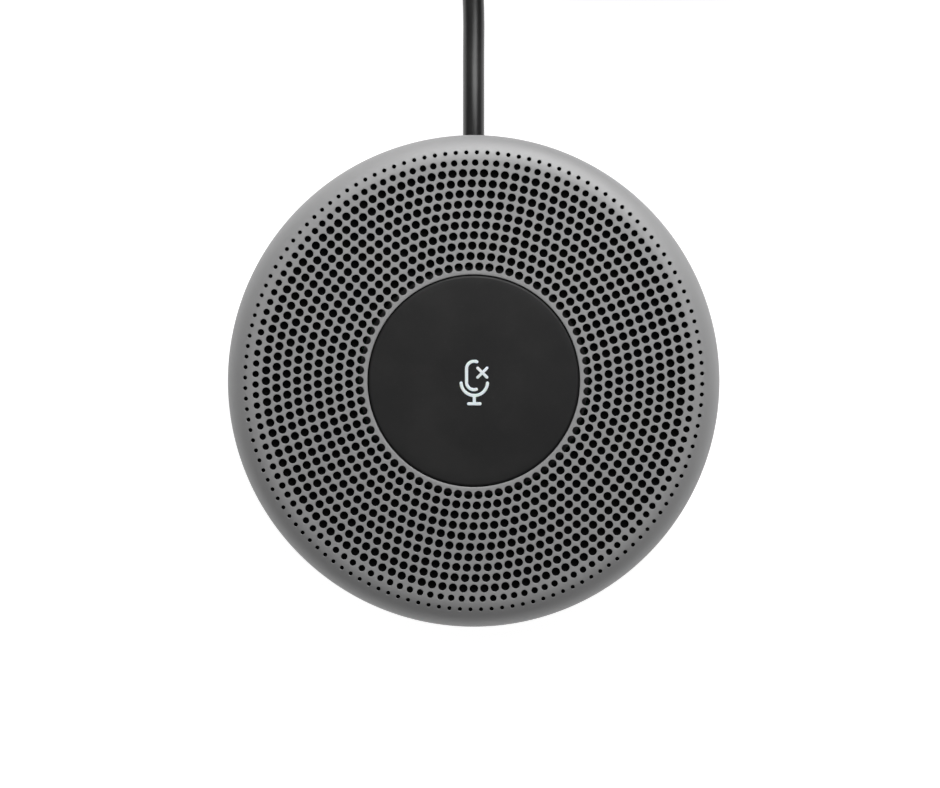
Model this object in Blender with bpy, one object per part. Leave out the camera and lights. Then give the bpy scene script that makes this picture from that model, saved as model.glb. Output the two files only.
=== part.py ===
"""Wired table microphone pod with a perforated grille, one mute key and a captive lead.

Blender 4.5, metres, +Z up. The pod stands on its rubber foot at Z = 0, its axis is the Z axis,
and the lead leaves it towards +Y. Run it with: blender --background --python part.py
"""

import math

import bmesh
import bpy
from mathutils import Matrix, Vector

MM = 0.001

# Overall sizes
PUCK_RADIUS = 41.5 * MM
PUCK_HEIGHT = 21.0 * MM
GAP = 0.3 * MM

# Grille shell
GRILLE_WALL = 0.9 * MM
EDGE_ROLL = 4.6 * MM
EDGE_SLOPE = math.radians(3.0)
LIP_ROUND = 0.5 * MM
LIP_DROP = 0.5 * MM
LIP_DEPTH = 1.9 * MM
CLOTH_THICKNESS = 0.4 * MM

# Mute key
BUTTON_RADIUS = 17.75 * MM
BUTTON_CLEARANCE = 0.25 * MM
BUTTON_CROWN = 0.3 * MM
BUTTON_ROUND = 0.4 * MM
CAP_WALL = 1.6 * MM
SKIRT_DEPTH = 4.5 * MM
SKIRT_WALL = 1.3 * MM
PRESS_TRAVEL = 0.5 * MM
RETURN_RING_HEIGHT = 1.4 * MM
RETURN_RING_WIDTH = 0.8 * MM
HOOK_ANGLES = (30.0, 150.0, 270.0)
HOOK_WIDTH = 4.0 * MM
HOOK_THICKNESS = 1.1 * MM
HOOK_BARB = 1.0 * MM
BARB_HEIGHT = 0.7 * MM
POCKET_WALL = 1.0 * MM
POCKET_DEPTH = 1.5 * MM
GUIDE_RADIUS = 7.0 * MM
GUIDE_WALL = 2.0 * MM
GUIDE_DISC = 1.2 * MM
STEM_RADIUS = 2.0 * MM

# Bottom housing and foot
FOOT_THICKNESS = 1.2 * MM
FOOT_INSET = 9.5 * MM
FOOT_ROUND = 0.3 * MM
FLOOR_WALL = 1.6 * MM
HOUSING_WALL = 1.8 * MM
SIDE_INSET = 0.6 * MM
SIDE_TOP = 9.4 * MM
SIDE_FOOT = 0.9 * MM
FOOT_LIP = 1.5 * MM
PARTING_GAP = 0.5 * MM
NEST_LIP = 1.5 * MM
NEST_WALL = 1.2 * MM

# Inner frame
FRAME_RING_WALL = 2.0 * MM
COLLAR_WALL = 1.25 * MM
SHELF_THICKNESS = 1.2 * MM
ARM_WIDTH = 5.0 * MM
ARM_THICKNESS = 2.0 * MM
ARM_ANGLES = (45.0, 135.0, 225.0, 315.0)
MIC_ANGLES = (0.0, 90.0, 180.0, 270.0)

# Screws: shank radius, head radius, head height
CASE_SCREW = (1.2 * MM, 2.2 * MM, 1.2 * MM)
BOARD_SCREW = (0.9 * MM, 1.8 * MM, 1.1 * MM)
CLAMP_SCREW = (0.8 * MM, 1.5 * MM, 0.9 * MM)
HEAD_DEPTH = 0.4 * MM
BOSS_INSET = 4.0 * MM
BOSS_WALL = 1.1 * MM
FLOOR_BOSS_WALL = 0.9 * MM
FLOOR_BOSS_HEIGHT = 1.3 * MM
SHOULDER_WALL = 1.0 * MM
POST_SETBACK = 6.5 * MM
POST_WALL = 1.0 * MM

# Board and what is on it
BOARD_THICKNESS = 1.2 * MM
BOARD_AIR = 0.7 * MM
BOARD_EDGE = 0.5 * MM
SWITCH_WIDTH = 6.0 * MM
SWITCH_HEIGHT = 3.5 * MM
PLUNGER_RADIUS = 1.75 * MM
PLUNGER_PROUD = 1.4 * MM
PLUNGER_SEAT = 0.8 * MM
GASKET_RADIUS = 4.3 * MM
CAPSULE_RADIUS = 3.0 * MM
CAPSULE_HEIGHT = 2.7 * MM
CAPSULE_DEPTH = 1.0 * MM
LED_SIZE = (1.6 * MM, 0.8 * MM, 0.6 * MM)
LED_ANGLES = (0.0, 90.0, 180.0, 270.0)
CHIPS = {"audio_processor": (6.0 * MM, 0.9 * MM, 270.0), "codec_chip": (4.0 * MM, 0.8 * MM, 90.0)}
CHIP_SPOT = 11.2 * MM
BALLAST_THICKNESS = 2.5 * MM
LEAD_ROOM = 5.9 * MM
SOCKET_SIZE = (8.0 * MM, 4.6 * MM, 2.8 * MM)
HEADER_SIZE = (7.0 * MM, 2.4 * MM, 2.2 * MM)
HEADER_BACK_ROOM = 3.4 * MM
LEAD_DIAMETER = 0.7 * MM
LEAD_PITCH = 1.5 * MM
CORE_PITCH = 0.9 * MM
LEAD_STEPS = 8

# Lead, its grommet and its clamp
CABLE_DIAMETER = 3.6 * MM
CABLE_STAND = 2.7 * MM
GROMMET_WALL = 0.5 * MM
GROMMET_FLANGE = 0.7 * MM
GROMMET_FLANGE_LENGTH = 1.2 * MM
GROMMET_SETBACK = 1.6 * MM
CLAMP_INSET = 1.5 * MM
CLAMP_WALL = 1.0 * MM
CLAMP_LENGTH = 3.2 * MM
CLAMP_EAR = 3.3 * MM
CLAMP_EAR_HEIGHT = 1.15 * MM
CABLE_LENGTH = 6.0
LOOSE_LENGTH = 0.13

# Coil of the put-away lead: the turns lie in staggered rows, and its ends take up part of a turn
COIL_COLUMNS = 6
COIL_ROWS = 6
COIL_ENDS = 1.2
COIL_CENTRE_Y = 106.0 * MM
LEAD_DRIFT = 4.0 * MM
TIE_THICKNESS = 0.6 * MM
TIE_WIDTH = 9.0 * MM
TIE_ANGLES = (135.0, 315.0)

# Plug
GRIP_SIZE = (25.0 * MM, 15.5 * MM, 8.0 * MM)
GRIP_ROUND = 1.6 * MM
RELIEF_LENGTH = 12.0 * MM
RELIEF_RADII = (2.9 * MM, 3.6 * MM)
SHELL_SIZE = (12.0 * MM, 12.0 * MM, 4.5 * MM)
SHELL_WALL = 0.3 * MM
TONGUE_SIZE = (10.8 * MM, 10.6 * MM, 1.9 * MM)

# Facets round a full turn
WIDE_STEPS = 48
MIDDLE_STEPS = 32
SMALL_STEPS = 16
TINY_STEPS = 12

# Levels that follow from the sizes
CABLE_RADIUS = CABLE_DIAMETER / 2
FOOT_RADIUS = PUCK_RADIUS - FOOT_INSET
FLOOR_UNDER = FOOT_THICKNESS + GAP
FLOOR_TOP = FLOOR_UNDER + FLOOR_WALL
SIDE_RADIUS = PUCK_RADIUS - SIDE_INSET
SKIN_INNER = PUCK_RADIUS - GRILLE_WALL
NEST_RADIUS = SKIN_INNER - GAP
NEST_TOP = SIDE_TOP + NEST_LIP
SKIRT_BOTTOM = SIDE_TOP + PARTING_GAP
CABLE_Z = FLOOR_TOP + CABLE_STAND
BOARD_BOTTOM = CABLE_Z + CABLE_RADIUS + GAP + CLAMP_WALL + BOARD_AIR
BOARD_TOP = BOARD_BOTTOM + BOARD_THICKNESS
PART_BASE = BOARD_TOP + GAP
SWITCH_TOP = PART_BASE + SWITCH_HEIGHT
PLUNGER_TOP = SWITCH_TOP + PLUNGER_PROUD

LIP_TOP = PUCK_HEIGHT - LIP_DROP
LIP_RADIUS = BUTTON_RADIUS + BUTTON_CLEARANCE
LIP_BOTTOM = LIP_TOP - LIP_DEPTH
CAP_EDGE = PUCK_HEIGHT - BUTTON_CROWN
CAP_UNDER = CAP_EDGE - CAP_WALL
CAP_SKIRT_BOTTOM = CAP_EDGE - SKIRT_DEPTH
CAP_SKIRT_INNER = BUTTON_RADIUS - SKIRT_WALL
SHELF_TOP = CAP_SKIRT_BOTTOM - GAP - RETURN_RING_HEIGHT - GAP
SHELF_BOTTOM = SHELF_TOP - SHELF_THICKNESS
ARM_TOP = SHELF_BOTTOM + ARM_THICKNESS
BARB_TOP = SHELF_BOTTOM - GAP
BARB_BOTTOM = BARB_TOP - BARB_HEIGHT
HOOK_OUTER = CAP_SKIRT_INNER
HOOK_INNER = HOOK_OUTER - HOOK_THICKNESS
BARB_OUTER = HOOK_OUTER + HOOK_BARB
GUIDE_TOP = CAP_UNDER - GAP
COLLAR_INNER = BUTTON_RADIUS + GAP
COLLAR_OUTER = COLLAR_INNER + COLLAR_WALL
SHELF_INNER = HOOK_INNER - GAP - SHELF_THICKNESS

FRAME_RING_INNER = NEST_RADIUS - FRAME_RING_WALL
FRAME_RING_BOTTOM = NEST_TOP + GAP
MIC_SPOT = (COLLAR_OUTER + FRAME_RING_INNER) / 2
BOARD_RADIUS = MIC_SPOT + GASKET_RADIUS + BOARD_EDGE
BOSS_SPOT = FOOT_RADIUS - BOSS_INSET
BOSS_RADIUS = CASE_SCREW[0] + GAP + BOSS_WALL
POST_SPOT = BOSS_SPOT - POST_SETBACK
POST_RADIUS = BOARD_SCREW[0] + GAP + POST_WALL
FLOOR_BOSS_RADIUS = CASE_SCREW[1] + GAP + FLOOR_BOSS_WALL
FLOOR_BOSS_TOP = FLOOR_TOP + FLOOR_BOSS_HEIGHT
CASE_SEAT = FLOOR_UNDER + CASE_SCREW[2] + HEAD_DEPTH

CLAMP_Y = FOOT_RADIUS - CLAMP_INSET
BALLAST_RADIUS = CLAMP_Y - CLAMP_LENGTH / 2 - LEAD_ROOM
GROMMET_BORE = CABLE_RADIUS + GAP
GROMMET_RADIUS = GROMMET_BORE + GROMMET_WALL
GROMMET_INNER_Y = CLAMP_Y + CLAMP_LENGTH / 2 + GROMMET_SETBACK
EAR_REACH = GROMMET_BORE + CLAMP_WALL + CLAMP_EAR
EAR_SPOT = EAR_REACH - CLAMP_EAR / 2

COIL_TURNS = COIL_COLUMNS * COIL_ROWS - COIL_ENDS
COIL_MEAN_RADIUS = (CABLE_LENGTH - LOOSE_LENGTH) / (2 * math.pi * COIL_TURNS)
ROW_RISE = CABLE_DIAMETER * math.sqrt(0.75)
COIL_BOTTOM = TIE_THICKNESS + GAP
COIL_TOP = COIL_BOTTOM + CABLE_DIAMETER + (COIL_ROWS - 1) * ROW_RISE
COIL_HALF_WIDTH = (COIL_COLUMNS * CABLE_DIAMETER + CABLE_RADIUS) / 2
COIL_OUTER_TURN = COIL_MEAN_RADIUS + COIL_HALF_WIDTH - CABLE_RADIUS
COIL_CENTRE = Vector((COIL_OUTER_TURN - LEAD_DRIFT, COIL_CENTRE_Y, 0.0))
COIL_OUTER = COIL_OUTER_TURN + CABLE_RADIUS

# Routes of the lead, in metres. The first runs from inside the pod to the coil, straight out of
# the grommet and down onto the table; the second from the top of the coil to the plug.
LEAD_IN_ROUTE = (
    (0.0, 0.0285, 0.0058),
    (0.0, 0.0360, 0.0058),
    (0.0, 0.0420, 0.0057),
    (0.0, 0.0480, 0.0049),
    (0.0, 0.0550, 0.0034),
    (0.0, 0.0630, 0.0022),
    (-0.0004, 0.0700, 0.00185),
    (-0.0014, 0.0780, 0.0019),
    (-0.0027, 0.0862, 0.0023),
)
TAIL_ROUTE = (
    (-0.0056, 0.1198, 0.0174),
    (-0.0060, 0.1253, 0.0166),
    (-0.01085, 0.1299, 0.0143),
    (-0.0180, 0.1318, 0.0110),
    (-0.02515, 0.1299, 0.0077),
    (-0.0304, 0.12465, 0.0052),
    (-0.0322, 0.1208, 0.0042),
    (-0.0323, 0.1172, 0.0040),
)
PLUG_START = (TAIL_ROUTE[-1][0], TAIL_ROUTE[-1][1] - GAP, GRIP_SIZE[2] / 2)


def clear_scene():
    """Removes every object, so that the file holds this pod alone."""
    for thing in list(bpy.data.objects):
        bpy.data.objects.remove(thing, do_unlink=True)


def plain_material(name, colour, roughness, metallic=0.0):
    """A Principled BSDF material with one colour."""
    material = bpy.data.materials.new(name)
    material.use_nodes = True
    shader = material.node_tree.nodes["Principled BSDF"]
    shader.inputs["Base Color"].default_value = (*colour, 1.0)
    shader.inputs["Roughness"].default_value = roughness
    shader.inputs["Metallic"].default_value = metallic
    return material


def add_object(name, bm, finish=None, sharp=30.0):
    """Turns a bmesh into an object; without a finish it is a guide, which isn't rendered."""
    mesh = bpy.data.meshes.new(name)
    bmesh.ops.recalc_face_normals(bm, faces=bm.faces)
    bm.to_mesh(mesh)
    bm.free()
    thing = bpy.data.objects.new(name, mesh)
    bpy.context.scene.collection.objects.link(thing)
    if finish is None:
        thing.hide_render = True
        thing.display_type = "WIRE"
    else:
        mesh.materials.append(plain_material(name, *finish))
        mesh.shade_smooth()
        mesh.set_sharp_from_angle(angle=math.radians(sharp))
    return thing


def polar(radius, degrees, height=0.0):
    """A point at this radius and angle about the Z axis."""
    angle = math.radians(degrees)
    return Vector((radius * math.cos(angle), radius * math.sin(angle), height))


def arc(centre, radius, start, end, steps):
    """Points (r, z) of an arc, angles in degrees."""
    points = []
    for step in range(steps + 1):
        angle = math.radians(start + (end - start) * step / steps)
        points.append((centre[0] + radius * math.cos(angle), centre[1] + radius * math.sin(angle)))
    return points


def turned(profile, steps):
    """A solid of revolution about the Z axis from a closed outline of (r, z) points."""
    bm = bmesh.new()
    corners = [bm.verts.new((radius, 0.0, height)) for radius, height in profile]
    outline = [bm.edges.new(pair) for pair in zip(corners, corners[1:])]
    if profile[0][0] > 0.0 or profile[-1][0] > 0.0:
        outline.append(bm.edges.new((corners[-1], corners[0])))
    bmesh.ops.spin(
        bm,
        geom=corners + outline,
        cent=(0.0, 0.0, 0.0),
        axis=(0.0, 0.0, 1.0),
        angle=2 * math.pi,
        steps=steps,
        use_merge=True,
    )
    bmesh.ops.remove_doubles(bm, verts=bm.verts, dist=0.0001 * MM)
    return bm


def pipe(inner, outer, bottom, top, steps):
    """A plain ring with a rectangular section."""
    return turned([(inner, bottom), (outer, bottom), (outer, top), (inner, top)], steps)


def rod(radius, bottom, top, steps):
    """A plain cylinder."""
    return turned([(0.0, bottom), (radius, bottom), (radius, top), (0.0, top)], steps)


def block(size, centre, rounding=0.0):
    """A box, with its edges rounded where asked."""
    bm = bmesh.new()
    place = Matrix.Translation(centre) @ Matrix.Diagonal((*size, 1.0))
    bmesh.ops.create_cube(bm, size=1.0, matrix=place)
    if rounding:
        bmesh.ops.bevel(
            bm,
            geom=list(bm.edges),
            offset=rounding,
            segments=2,
            profile=0.5,
            affect="EDGES",
            clamp_overlap=True,
            material=-1,
        )
    return bm


def repeated(bm, places):
    """Copies of one shape, a matrix for each, in one bmesh. The first shape itself goes."""
    template = bpy.data.meshes.new("template")
    bm.to_mesh(template)
    bm.free()
    several = bmesh.new()
    for place in places:
        before = len(several.verts)
        several.from_mesh(template)
        several.verts.ensure_lookup_table()
        bmesh.ops.transform(several, matrix=place, verts=several.verts[before:])
    bpy.data.meshes.remove(template)
    return several


def spots(radius, angles):
    """Matrices that turn a shape and set it out at this radius, one for each angle."""
    places = []
    for degrees in angles:
        turn = Matrix.Rotation(math.radians(degrees), 4, "Z")
        places.append(turn @ Matrix.Translation((radius, 0.0, 0.0)))
    return places


def boolean(thing, other, operation):
    """Adds one Boolean modifier."""
    modifier = thing.modifiers.new(other.name, "BOOLEAN")
    modifier.operation = operation
    modifier.solver = "EXACT"
    modifier.object = other


def join_guides(thing, name, shapes):
    """Joins the shapes to the object, each through a guide of its own."""
    for index, bm in enumerate(shapes, 1):
        boolean(thing, add_object(f"{name}_{index}", bm), "UNION")


def cut_guides(thing, name, shapes):
    """Cuts the shapes from the object, each through a guide of its own."""
    for index, bm in enumerate(shapes, 1):
        boolean(thing, add_object(f"{name}_{index}", bm), "DIFFERENCE")


def roll_centre():
    """Centre (r, z) of the rolled edge, worked out so that the roll runs into the dome."""
    radius = PUCK_RADIUS - EDGE_ROLL
    return radius, dome_centre() + (dome_radius() - EDGE_ROLL) * math.cos(EDGE_SLOPE)


def roll_end_radius():
    """Radius at which the rolled edge meets the dome."""
    return PUCK_RADIUS - EDGE_ROLL + EDGE_ROLL * math.sin(EDGE_SLOPE)


def dome_radius():
    """Radius of the shallow dome that the grille's top is."""
    return roll_end_radius() / math.sin(EDGE_SLOPE)


def dome_centre():
    """Height of the dome's centre, far below the pod."""
    start = LIP_RADIUS + LIP_ROUND
    return LIP_TOP - math.sqrt(dome_radius() ** 2 - start**2)


def skin_height(radius, depth):
    """Height, at a radius, of the surface that lies this deep under the grille's outer skin."""
    roll_r, roll_z = roll_centre()
    if radius <= roll_end_radius() - depth * math.sin(EDGE_SLOPE):
        return dome_centre() + math.sqrt((dome_radius() - depth) ** 2 - radius**2)
    return roll_z + math.sqrt((EDGE_ROLL - depth) ** 2 - (radius - roll_r) ** 2)


def grille():
    """The grille shell: skirt, rolled edge, shallow dome and the lip round the mute key."""
    roll = roll_centre()
    inside = LIP_RADIUS + GRILLE_WALL
    middle = (LIP_RADIUS + roll_end_radius()) / 2
    crown = 90.0 - math.degrees(EDGE_SLOPE)
    lip_centre = (LIP_RADIUS + LIP_ROUND, LIP_TOP - LIP_ROUND)
    profile = [(PUCK_RADIUS, SKIRT_BOTTOM)]
    profile += arc(roll, EDGE_ROLL, 0.0, crown, 6)
    profile += [(middle, skin_height(middle, 0.0))]
    profile += arc(lip_centre, LIP_ROUND, 90.0, 180.0, 2)
    profile += [(LIP_RADIUS, LIP_BOTTOM), (inside, LIP_BOTTOM)]
    profile += [(radius, skin_height(radius, GRILLE_WALL)) for radius in (inside, middle)]
    profile += arc(roll, EDGE_ROLL - GRILLE_WALL, crown, 0.0, 5)
    profile += [(SKIN_INNER, SKIRT_BOTTOM)]
    add_object("top_grille", turned(profile, WIDE_STEPS), ((0.36, 0.36, 0.36), 0.42, 0.6))


def acoustic_cloth():
    """The black cloth under the grille, which follows the dome's inside."""
    inner = COLLAR_OUTER + GAP
    outer = PUCK_RADIUS - EDGE_ROLL + (EDGE_ROLL - GRILLE_WALL) / 2
    radii = [inner + (outer - inner) * share for share in (0.0, 0.35, 0.7, 0.9, 1.0)]
    top = GRILLE_WALL + GAP
    profile = [(radius, skin_height(radius, top)) for radius in radii]
    profile += [(radius, skin_height(radius, top) - CLOTH_THICKNESS) for radius in reversed(radii)]
    add_object("acoustic_cloth", turned(profile, WIDE_STEPS), ((0.01, 0.01, 0.01), 0.95))


def screw(name, sizes, seat, length, place, upwards):
    """A pan-head screw with a cross recess; seat is where the head's underside lies."""
    shank, head, head_height = sizes
    profile = [
        (0.0, -head_height),
        (head * 0.75, -head_height),
        (head, -head_height * 0.55),
        (head, 0.0),
        (shank, 0.0),
        (shank, length - shank),
        (shank * 0.4, length),
        (0.0, length),
    ]
    bm = turned(profile, TINY_STEPS)
    slot_depth = head_height * 0.5
    cross = [(head * 1.1, head * 0.28), (head * 0.28, head * 1.1)]
    thing = add_object(name, bm, ((0.35, 0.35, 0.36), 0.35, 1.0))
    for index, (along, across) in enumerate(cross, 1):
        slot = block((along, across, slot_depth * 2), (0.0, 0.0, -head_height))
        guide = add_object(f"{name}_slot_{index}", slot)
        guide.parent = thing
        boolean(thing, guide, "DIFFERENCE")
    thing.location = (place[0], place[1], seat)
    if not upwards:
        thing.rotation_euler = (math.pi, 0.0, 0.0)


def foot():
    """The rubber foot disc that the pod rests on."""
    profile = [(0.0, 0.0), (FOOT_RADIUS - FOOT_ROUND, 0.0), (FOOT_RADIUS, FOOT_ROUND)]
    profile += [(FOOT_RADIUS, FOOT_THICKNESS), (0.0, FOOT_THICKNESS)]
    add_object("foot_pad", turned(profile, WIDE_STEPS), ((0.02, 0.02, 0.02), 0.85))


def quarter_oval(start, end, steps):
    """Points (r, z) from a level start to an upright end."""
    points = []
    for step in range(steps + 1):
        angle = math.pi / 2 * step / steps
        radius = start[0] + (end[0] - start[0]) * math.sin(angle)
        points.append((radius, start[1] + (end[1] - start[1]) * (1.0 - math.cos(angle))))
    return points


def bottom_housing():
    """The lower shell, with the screw bosses, the lead's cradle and the grommet's hole."""
    lip_inner = FOOT_RADIUS + GAP
    lip_outer = lip_inner + FOOT_LIP
    nest_inner = NEST_RADIUS - NEST_WALL
    profile = [(0.0, FLOOR_UNDER), (lip_inner, FLOOR_UNDER), (lip_inner, SIDE_FOOT)]
    profile += quarter_oval((lip_outer, SIDE_FOOT), (SIDE_RADIUS, SIDE_TOP), 7)
    profile += [(NEST_RADIUS, SIDE_TOP), (NEST_RADIUS, NEST_TOP), (nest_inner, NEST_TOP)]
    inside = quarter_oval((lip_outer - GAP, FLOOR_TOP), (SIDE_RADIUS - HOUSING_WALL, SIDE_TOP), 5)
    profile += list(reversed(inside))
    profile += [(0.0, FLOOR_TOP)]
    shell = add_object("bottom_housing", turned(profile, WIDE_STEPS), ((0.03, 0.03, 0.032), 0.55))

    sunk = FLOOR_WALL / 2
    boss = rod(FLOOR_BOSS_RADIUS, FLOOR_TOP - sunk, FLOOR_BOSS_TOP, SMALL_STEPS)
    cradle_top = CABLE_Z - GAP / 2
    cradle_size = (2 * EAR_REACH, CLAMP_LENGTH, cradle_top - FLOOR_TOP + sunk)
    cradle = block(cradle_size, (0.0, CLAMP_Y, cradle_top - cradle_size[2] / 2))
    join_guides(shell, "housing_boss", [repeated(boss, spots(BOSS_SPOT, ARM_ANGLES)), cradle])

    shank, head, _ = CASE_SCREW
    seat = [(0.0, 0.0), (head + GAP, 0.0), (head + GAP, CASE_SEAT), (shank + GAP, CASE_SEAT)]
    seat += [(shank + GAP, FLOOR_BOSS_TOP + GAP), (0.0, FLOOR_BOSS_TOP + GAP)]
    wells = repeated(turned(seat, SMALL_STEPS), spots(BOSS_SPOT, ARM_ANGLES))
    ears = [Matrix.Translation((side * EAR_SPOT, CLAMP_Y, 0.0)) for side in (-1.0, 1.0)]
    ear_hole = rod(CLAMP_SCREW[0] + GAP, FLOOR_TOP, cradle_top + GAP, TINY_STEPS)
    flange_reach = GROMMET_INNER_Y + GROMMET_FLANGE_LENGTH + GAP
    flange = GROMMET_RADIUS + GROMMET_FLANGE + GAP
    outlet = [(0.0, CLAMP_Y - CLAMP_LENGTH), (GROMMET_BORE, CLAMP_Y - CLAMP_LENGTH)]
    outlet += [(GROMMET_BORE, GROMMET_INNER_Y - GAP), (flange, GROMMET_INNER_Y - GAP)]
    outlet += [(flange, flange_reach), (GROMMET_RADIUS + GAP, flange_reach)]
    outlet += [(GROMMET_RADIUS + GAP, PUCK_RADIUS + GAP), (0.0, PUCK_RADIUS + GAP)]
    mouth = turned(outlet, SMALL_STEPS)
    bmesh.ops.transform(mouth, matrix=along_lead(), verts=mouth.verts)
    cut_guides(shell, "housing_cut", [wells, repeated(ear_hole, ears), mouth])


def along_lead():
    """The matrix that lays a shape turned about Z along +Y, at the lead's height."""
    return Matrix.Translation((0.0, 0.0, CABLE_Z)) @ Matrix.Rotation(-math.pi / 2, 4, "X")


def ballast():
    """The steel plate that gives the pod its weight."""
    bottom = FLOOR_TOP + GAP
    bm = rod(BALLAST_RADIUS, bottom, bottom + BALLAST_THICKNESS, MIDDLE_STEPS)
    add_object("ballast_plate", bm, ((0.45, 0.45, 0.46), 0.4, 1.0))


def board():
    """The round main board, with holes for the frame's bosses and its own screws."""
    bm = rod(BOARD_RADIUS, BOARD_BOTTOM, BOARD_TOP, MIDDLE_STEPS)
    thing = add_object("main_board", bm, ((0.02, 0.14, 0.06), 0.4))
    bottom = BOARD_BOTTOM - GAP
    boss_hole = rod(BOSS_RADIUS + GAP, bottom, PART_BASE, SMALL_STEPS)
    screw_hole = rod(BOARD_SCREW[0] + GAP, bottom, PART_BASE, TINY_STEPS)
    holes = [repeated(boss_hole, spots(BOSS_SPOT, ARM_ANGLES))]
    holes += [repeated(screw_hole, spots(POST_SPOT, ARM_ANGLES))]
    cut_guides(thing, "board_hole", holes)


def inner_frame():
    """The frame that guides the mute key, holds the board down and carries the grille."""
    ring = pipe(FRAME_RING_INNER, NEST_RADIUS, FRAME_RING_BOTTOM, ARM_TOP, WIDE_STEPS)
    thing = add_object("inner_frame", ring, ((0.05, 0.05, 0.05), 0.6))
    collar_top = LIP_BOTTOM - GAP
    collar = [(SHELF_INNER, SHELF_BOTTOM), (COLLAR_OUTER, SHELF_BOTTOM), (COLLAR_OUTER, collar_top)]
    collar += [(COLLAR_INNER, collar_top), (COLLAR_INNER, SHELF_TOP), (SHELF_INNER, SHELF_TOP)]
    start = COLLAR_OUTER - COLLAR_WALL / 2
    reach = FRAME_RING_INNER + FRAME_RING_WALL / 2
    arm_size = (reach - start, ARM_WIDTH, ARM_THICKNESS)
    arm = block(arm_size, ((start + reach) / 2, 0.0, (ARM_TOP + SHELF_BOTTOM) / 2))
    arms = repeated(arm, spots(0.0, ARM_ANGLES))
    boss_bottom = FLOOR_BOSS_TOP + GAP
    shoulder = BOSS_RADIUS + SHOULDER_WALL
    middle = SHELF_BOTTOM + ARM_THICKNESS / 2
    boss = [(0.0, boss_bottom), (BOSS_RADIUS, boss_bottom), (BOSS_RADIUS, PART_BASE)]
    boss += [(shoulder, PART_BASE), (shoulder, middle), (0.0, middle)]
    bosses = repeated(turned(boss, SMALL_STEPS), spots(BOSS_SPOT, ARM_ANGLES))
    post = rod(POST_RADIUS, PART_BASE, middle, SMALL_STEPS)
    posts = repeated(post, spots(POST_SPOT, ARM_ANGLES))
    join_guides(thing, "frame_piece", [turned(collar, WIDE_STEPS), arms, posts, bosses])

    boss_bore = rod(CASE_SCREW[0] + GAP, boss_bottom - GAP, BOARD_TOP, TINY_STEPS)
    post_bore = rod(BOARD_SCREW[0] + GAP, PART_BASE - GAP, SHELF_BOTTOM, TINY_STEPS)
    slot_inner = HOOK_INNER - GAP
    slot_outer = HOOK_OUTER + GAP
    slot_size = (slot_outer - slot_inner, HOOK_WIDTH + 2 * GAP, SHELF_THICKNESS + 2 * GAP)
    slot_middle = (SHELF_TOP + SHELF_BOTTOM) / 2
    slot = block(slot_size, ((slot_inner + slot_outer) / 2, 0.0, slot_middle))
    cuts = [repeated(boss_bore, spots(BOSS_SPOT, ARM_ANGLES))]
    cuts += [repeated(post_bore, spots(POST_SPOT, ARM_ANGLES))]
    cuts += [repeated(slot, spots(0.0, HOOK_ANGLES))]
    cut_guides(thing, "frame_cut", cuts)


def case_screws():
    """The four screws that come up through the housing's floor into the frame."""
    length = BOARD_BOTTOM - CASE_SEAT
    for index, degrees in enumerate(ARM_ANGLES, 1):
        seat = CASE_SEAT - GAP
        screw(f"case_screw_{index}", CASE_SCREW, seat, length, polar(BOSS_SPOT, degrees), True)


def board_screws():
    """The four screws that hold the board up against the frame's posts."""
    seat = BOARD_BOTTOM - GAP
    length = SHELF_BOTTOM - GAP - seat
    for index, degrees in enumerate(ARM_ANGLES, 1):
        screw(f"board_screw_{index}", BOARD_SCREW, seat, length, polar(POST_SPOT, degrees), True)


def microphones():
    """Four microphone capsules, each in a rubber gasket that reaches up to the cloth."""
    gasket_top = skin_height(MIC_SPOT + GASKET_RADIUS, GRILLE_WALL + GAP) - CLOTH_THICKNESS - GAP
    capsule_top = gasket_top - CAPSULE_DEPTH
    capsule_bottom = capsule_top - CAPSULE_HEIGHT
    bore = CAPSULE_RADIUS + GAP
    floor = capsule_bottom - GAP
    profile = [(0.0, PART_BASE), (GASKET_RADIUS, PART_BASE), (GASKET_RADIUS, gasket_top)]
    profile += [(bore, gasket_top), (bore, floor), (0.0, floor)]
    for index, degrees in enumerate(MIC_ANGLES, 1):
        place = polar(MIC_SPOT, degrees)
        gasket = turned(profile, SMALL_STEPS)
        holder = add_object(f"mic_gasket_{index}", gasket, ((0.03, 0.03, 0.03), 0.9))
        holder.location = place
        can = rod(CAPSULE_RADIUS, capsule_bottom, capsule_top, SMALL_STEPS)
        capsule = add_object(f"mic_capsule_{index}", can, ((0.7, 0.7, 0.68), 0.3, 1.0))
        capsule.location = place


def switch():
    """The tactile switch on the board's middle, and the plunger that moves in it."""
    size = (SWITCH_WIDTH, SWITCH_WIDTH, SWITCH_HEIGHT)
    body = block(size, (0.0, 0.0, PART_BASE + SWITCH_HEIGHT / 2))
    thing = add_object("switch_body", body, ((0.04, 0.04, 0.04), 0.5))
    plunger_bottom = SWITCH_TOP - PLUNGER_SEAT
    bore_bottom = plunger_bottom - PRESS_TRAVEL - GAP
    bore = rod(PLUNGER_RADIUS + GAP, bore_bottom, SWITCH_TOP + GAP, SMALL_STEPS)
    cut_guides(thing, "switch_bore", [bore])
    axis = moving_axis("plunger_axis", plunger_bottom)
    plunger = rod(PLUNGER_RADIUS, 0.0, PLUNGER_TOP - plunger_bottom, SMALL_STEPS)
    add_object("switch_plunger", plunger, ((0.8, 0.78, 0.7), 0.5)).parent = axis


def moving_axis(name, height):
    """An empty on the pod's axis that carries a moving piece."""
    axis = bpy.data.objects.new(name, None)
    axis.location = (0.0, 0.0, height)
    bpy.context.scene.collection.objects.link(axis)
    return axis


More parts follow.
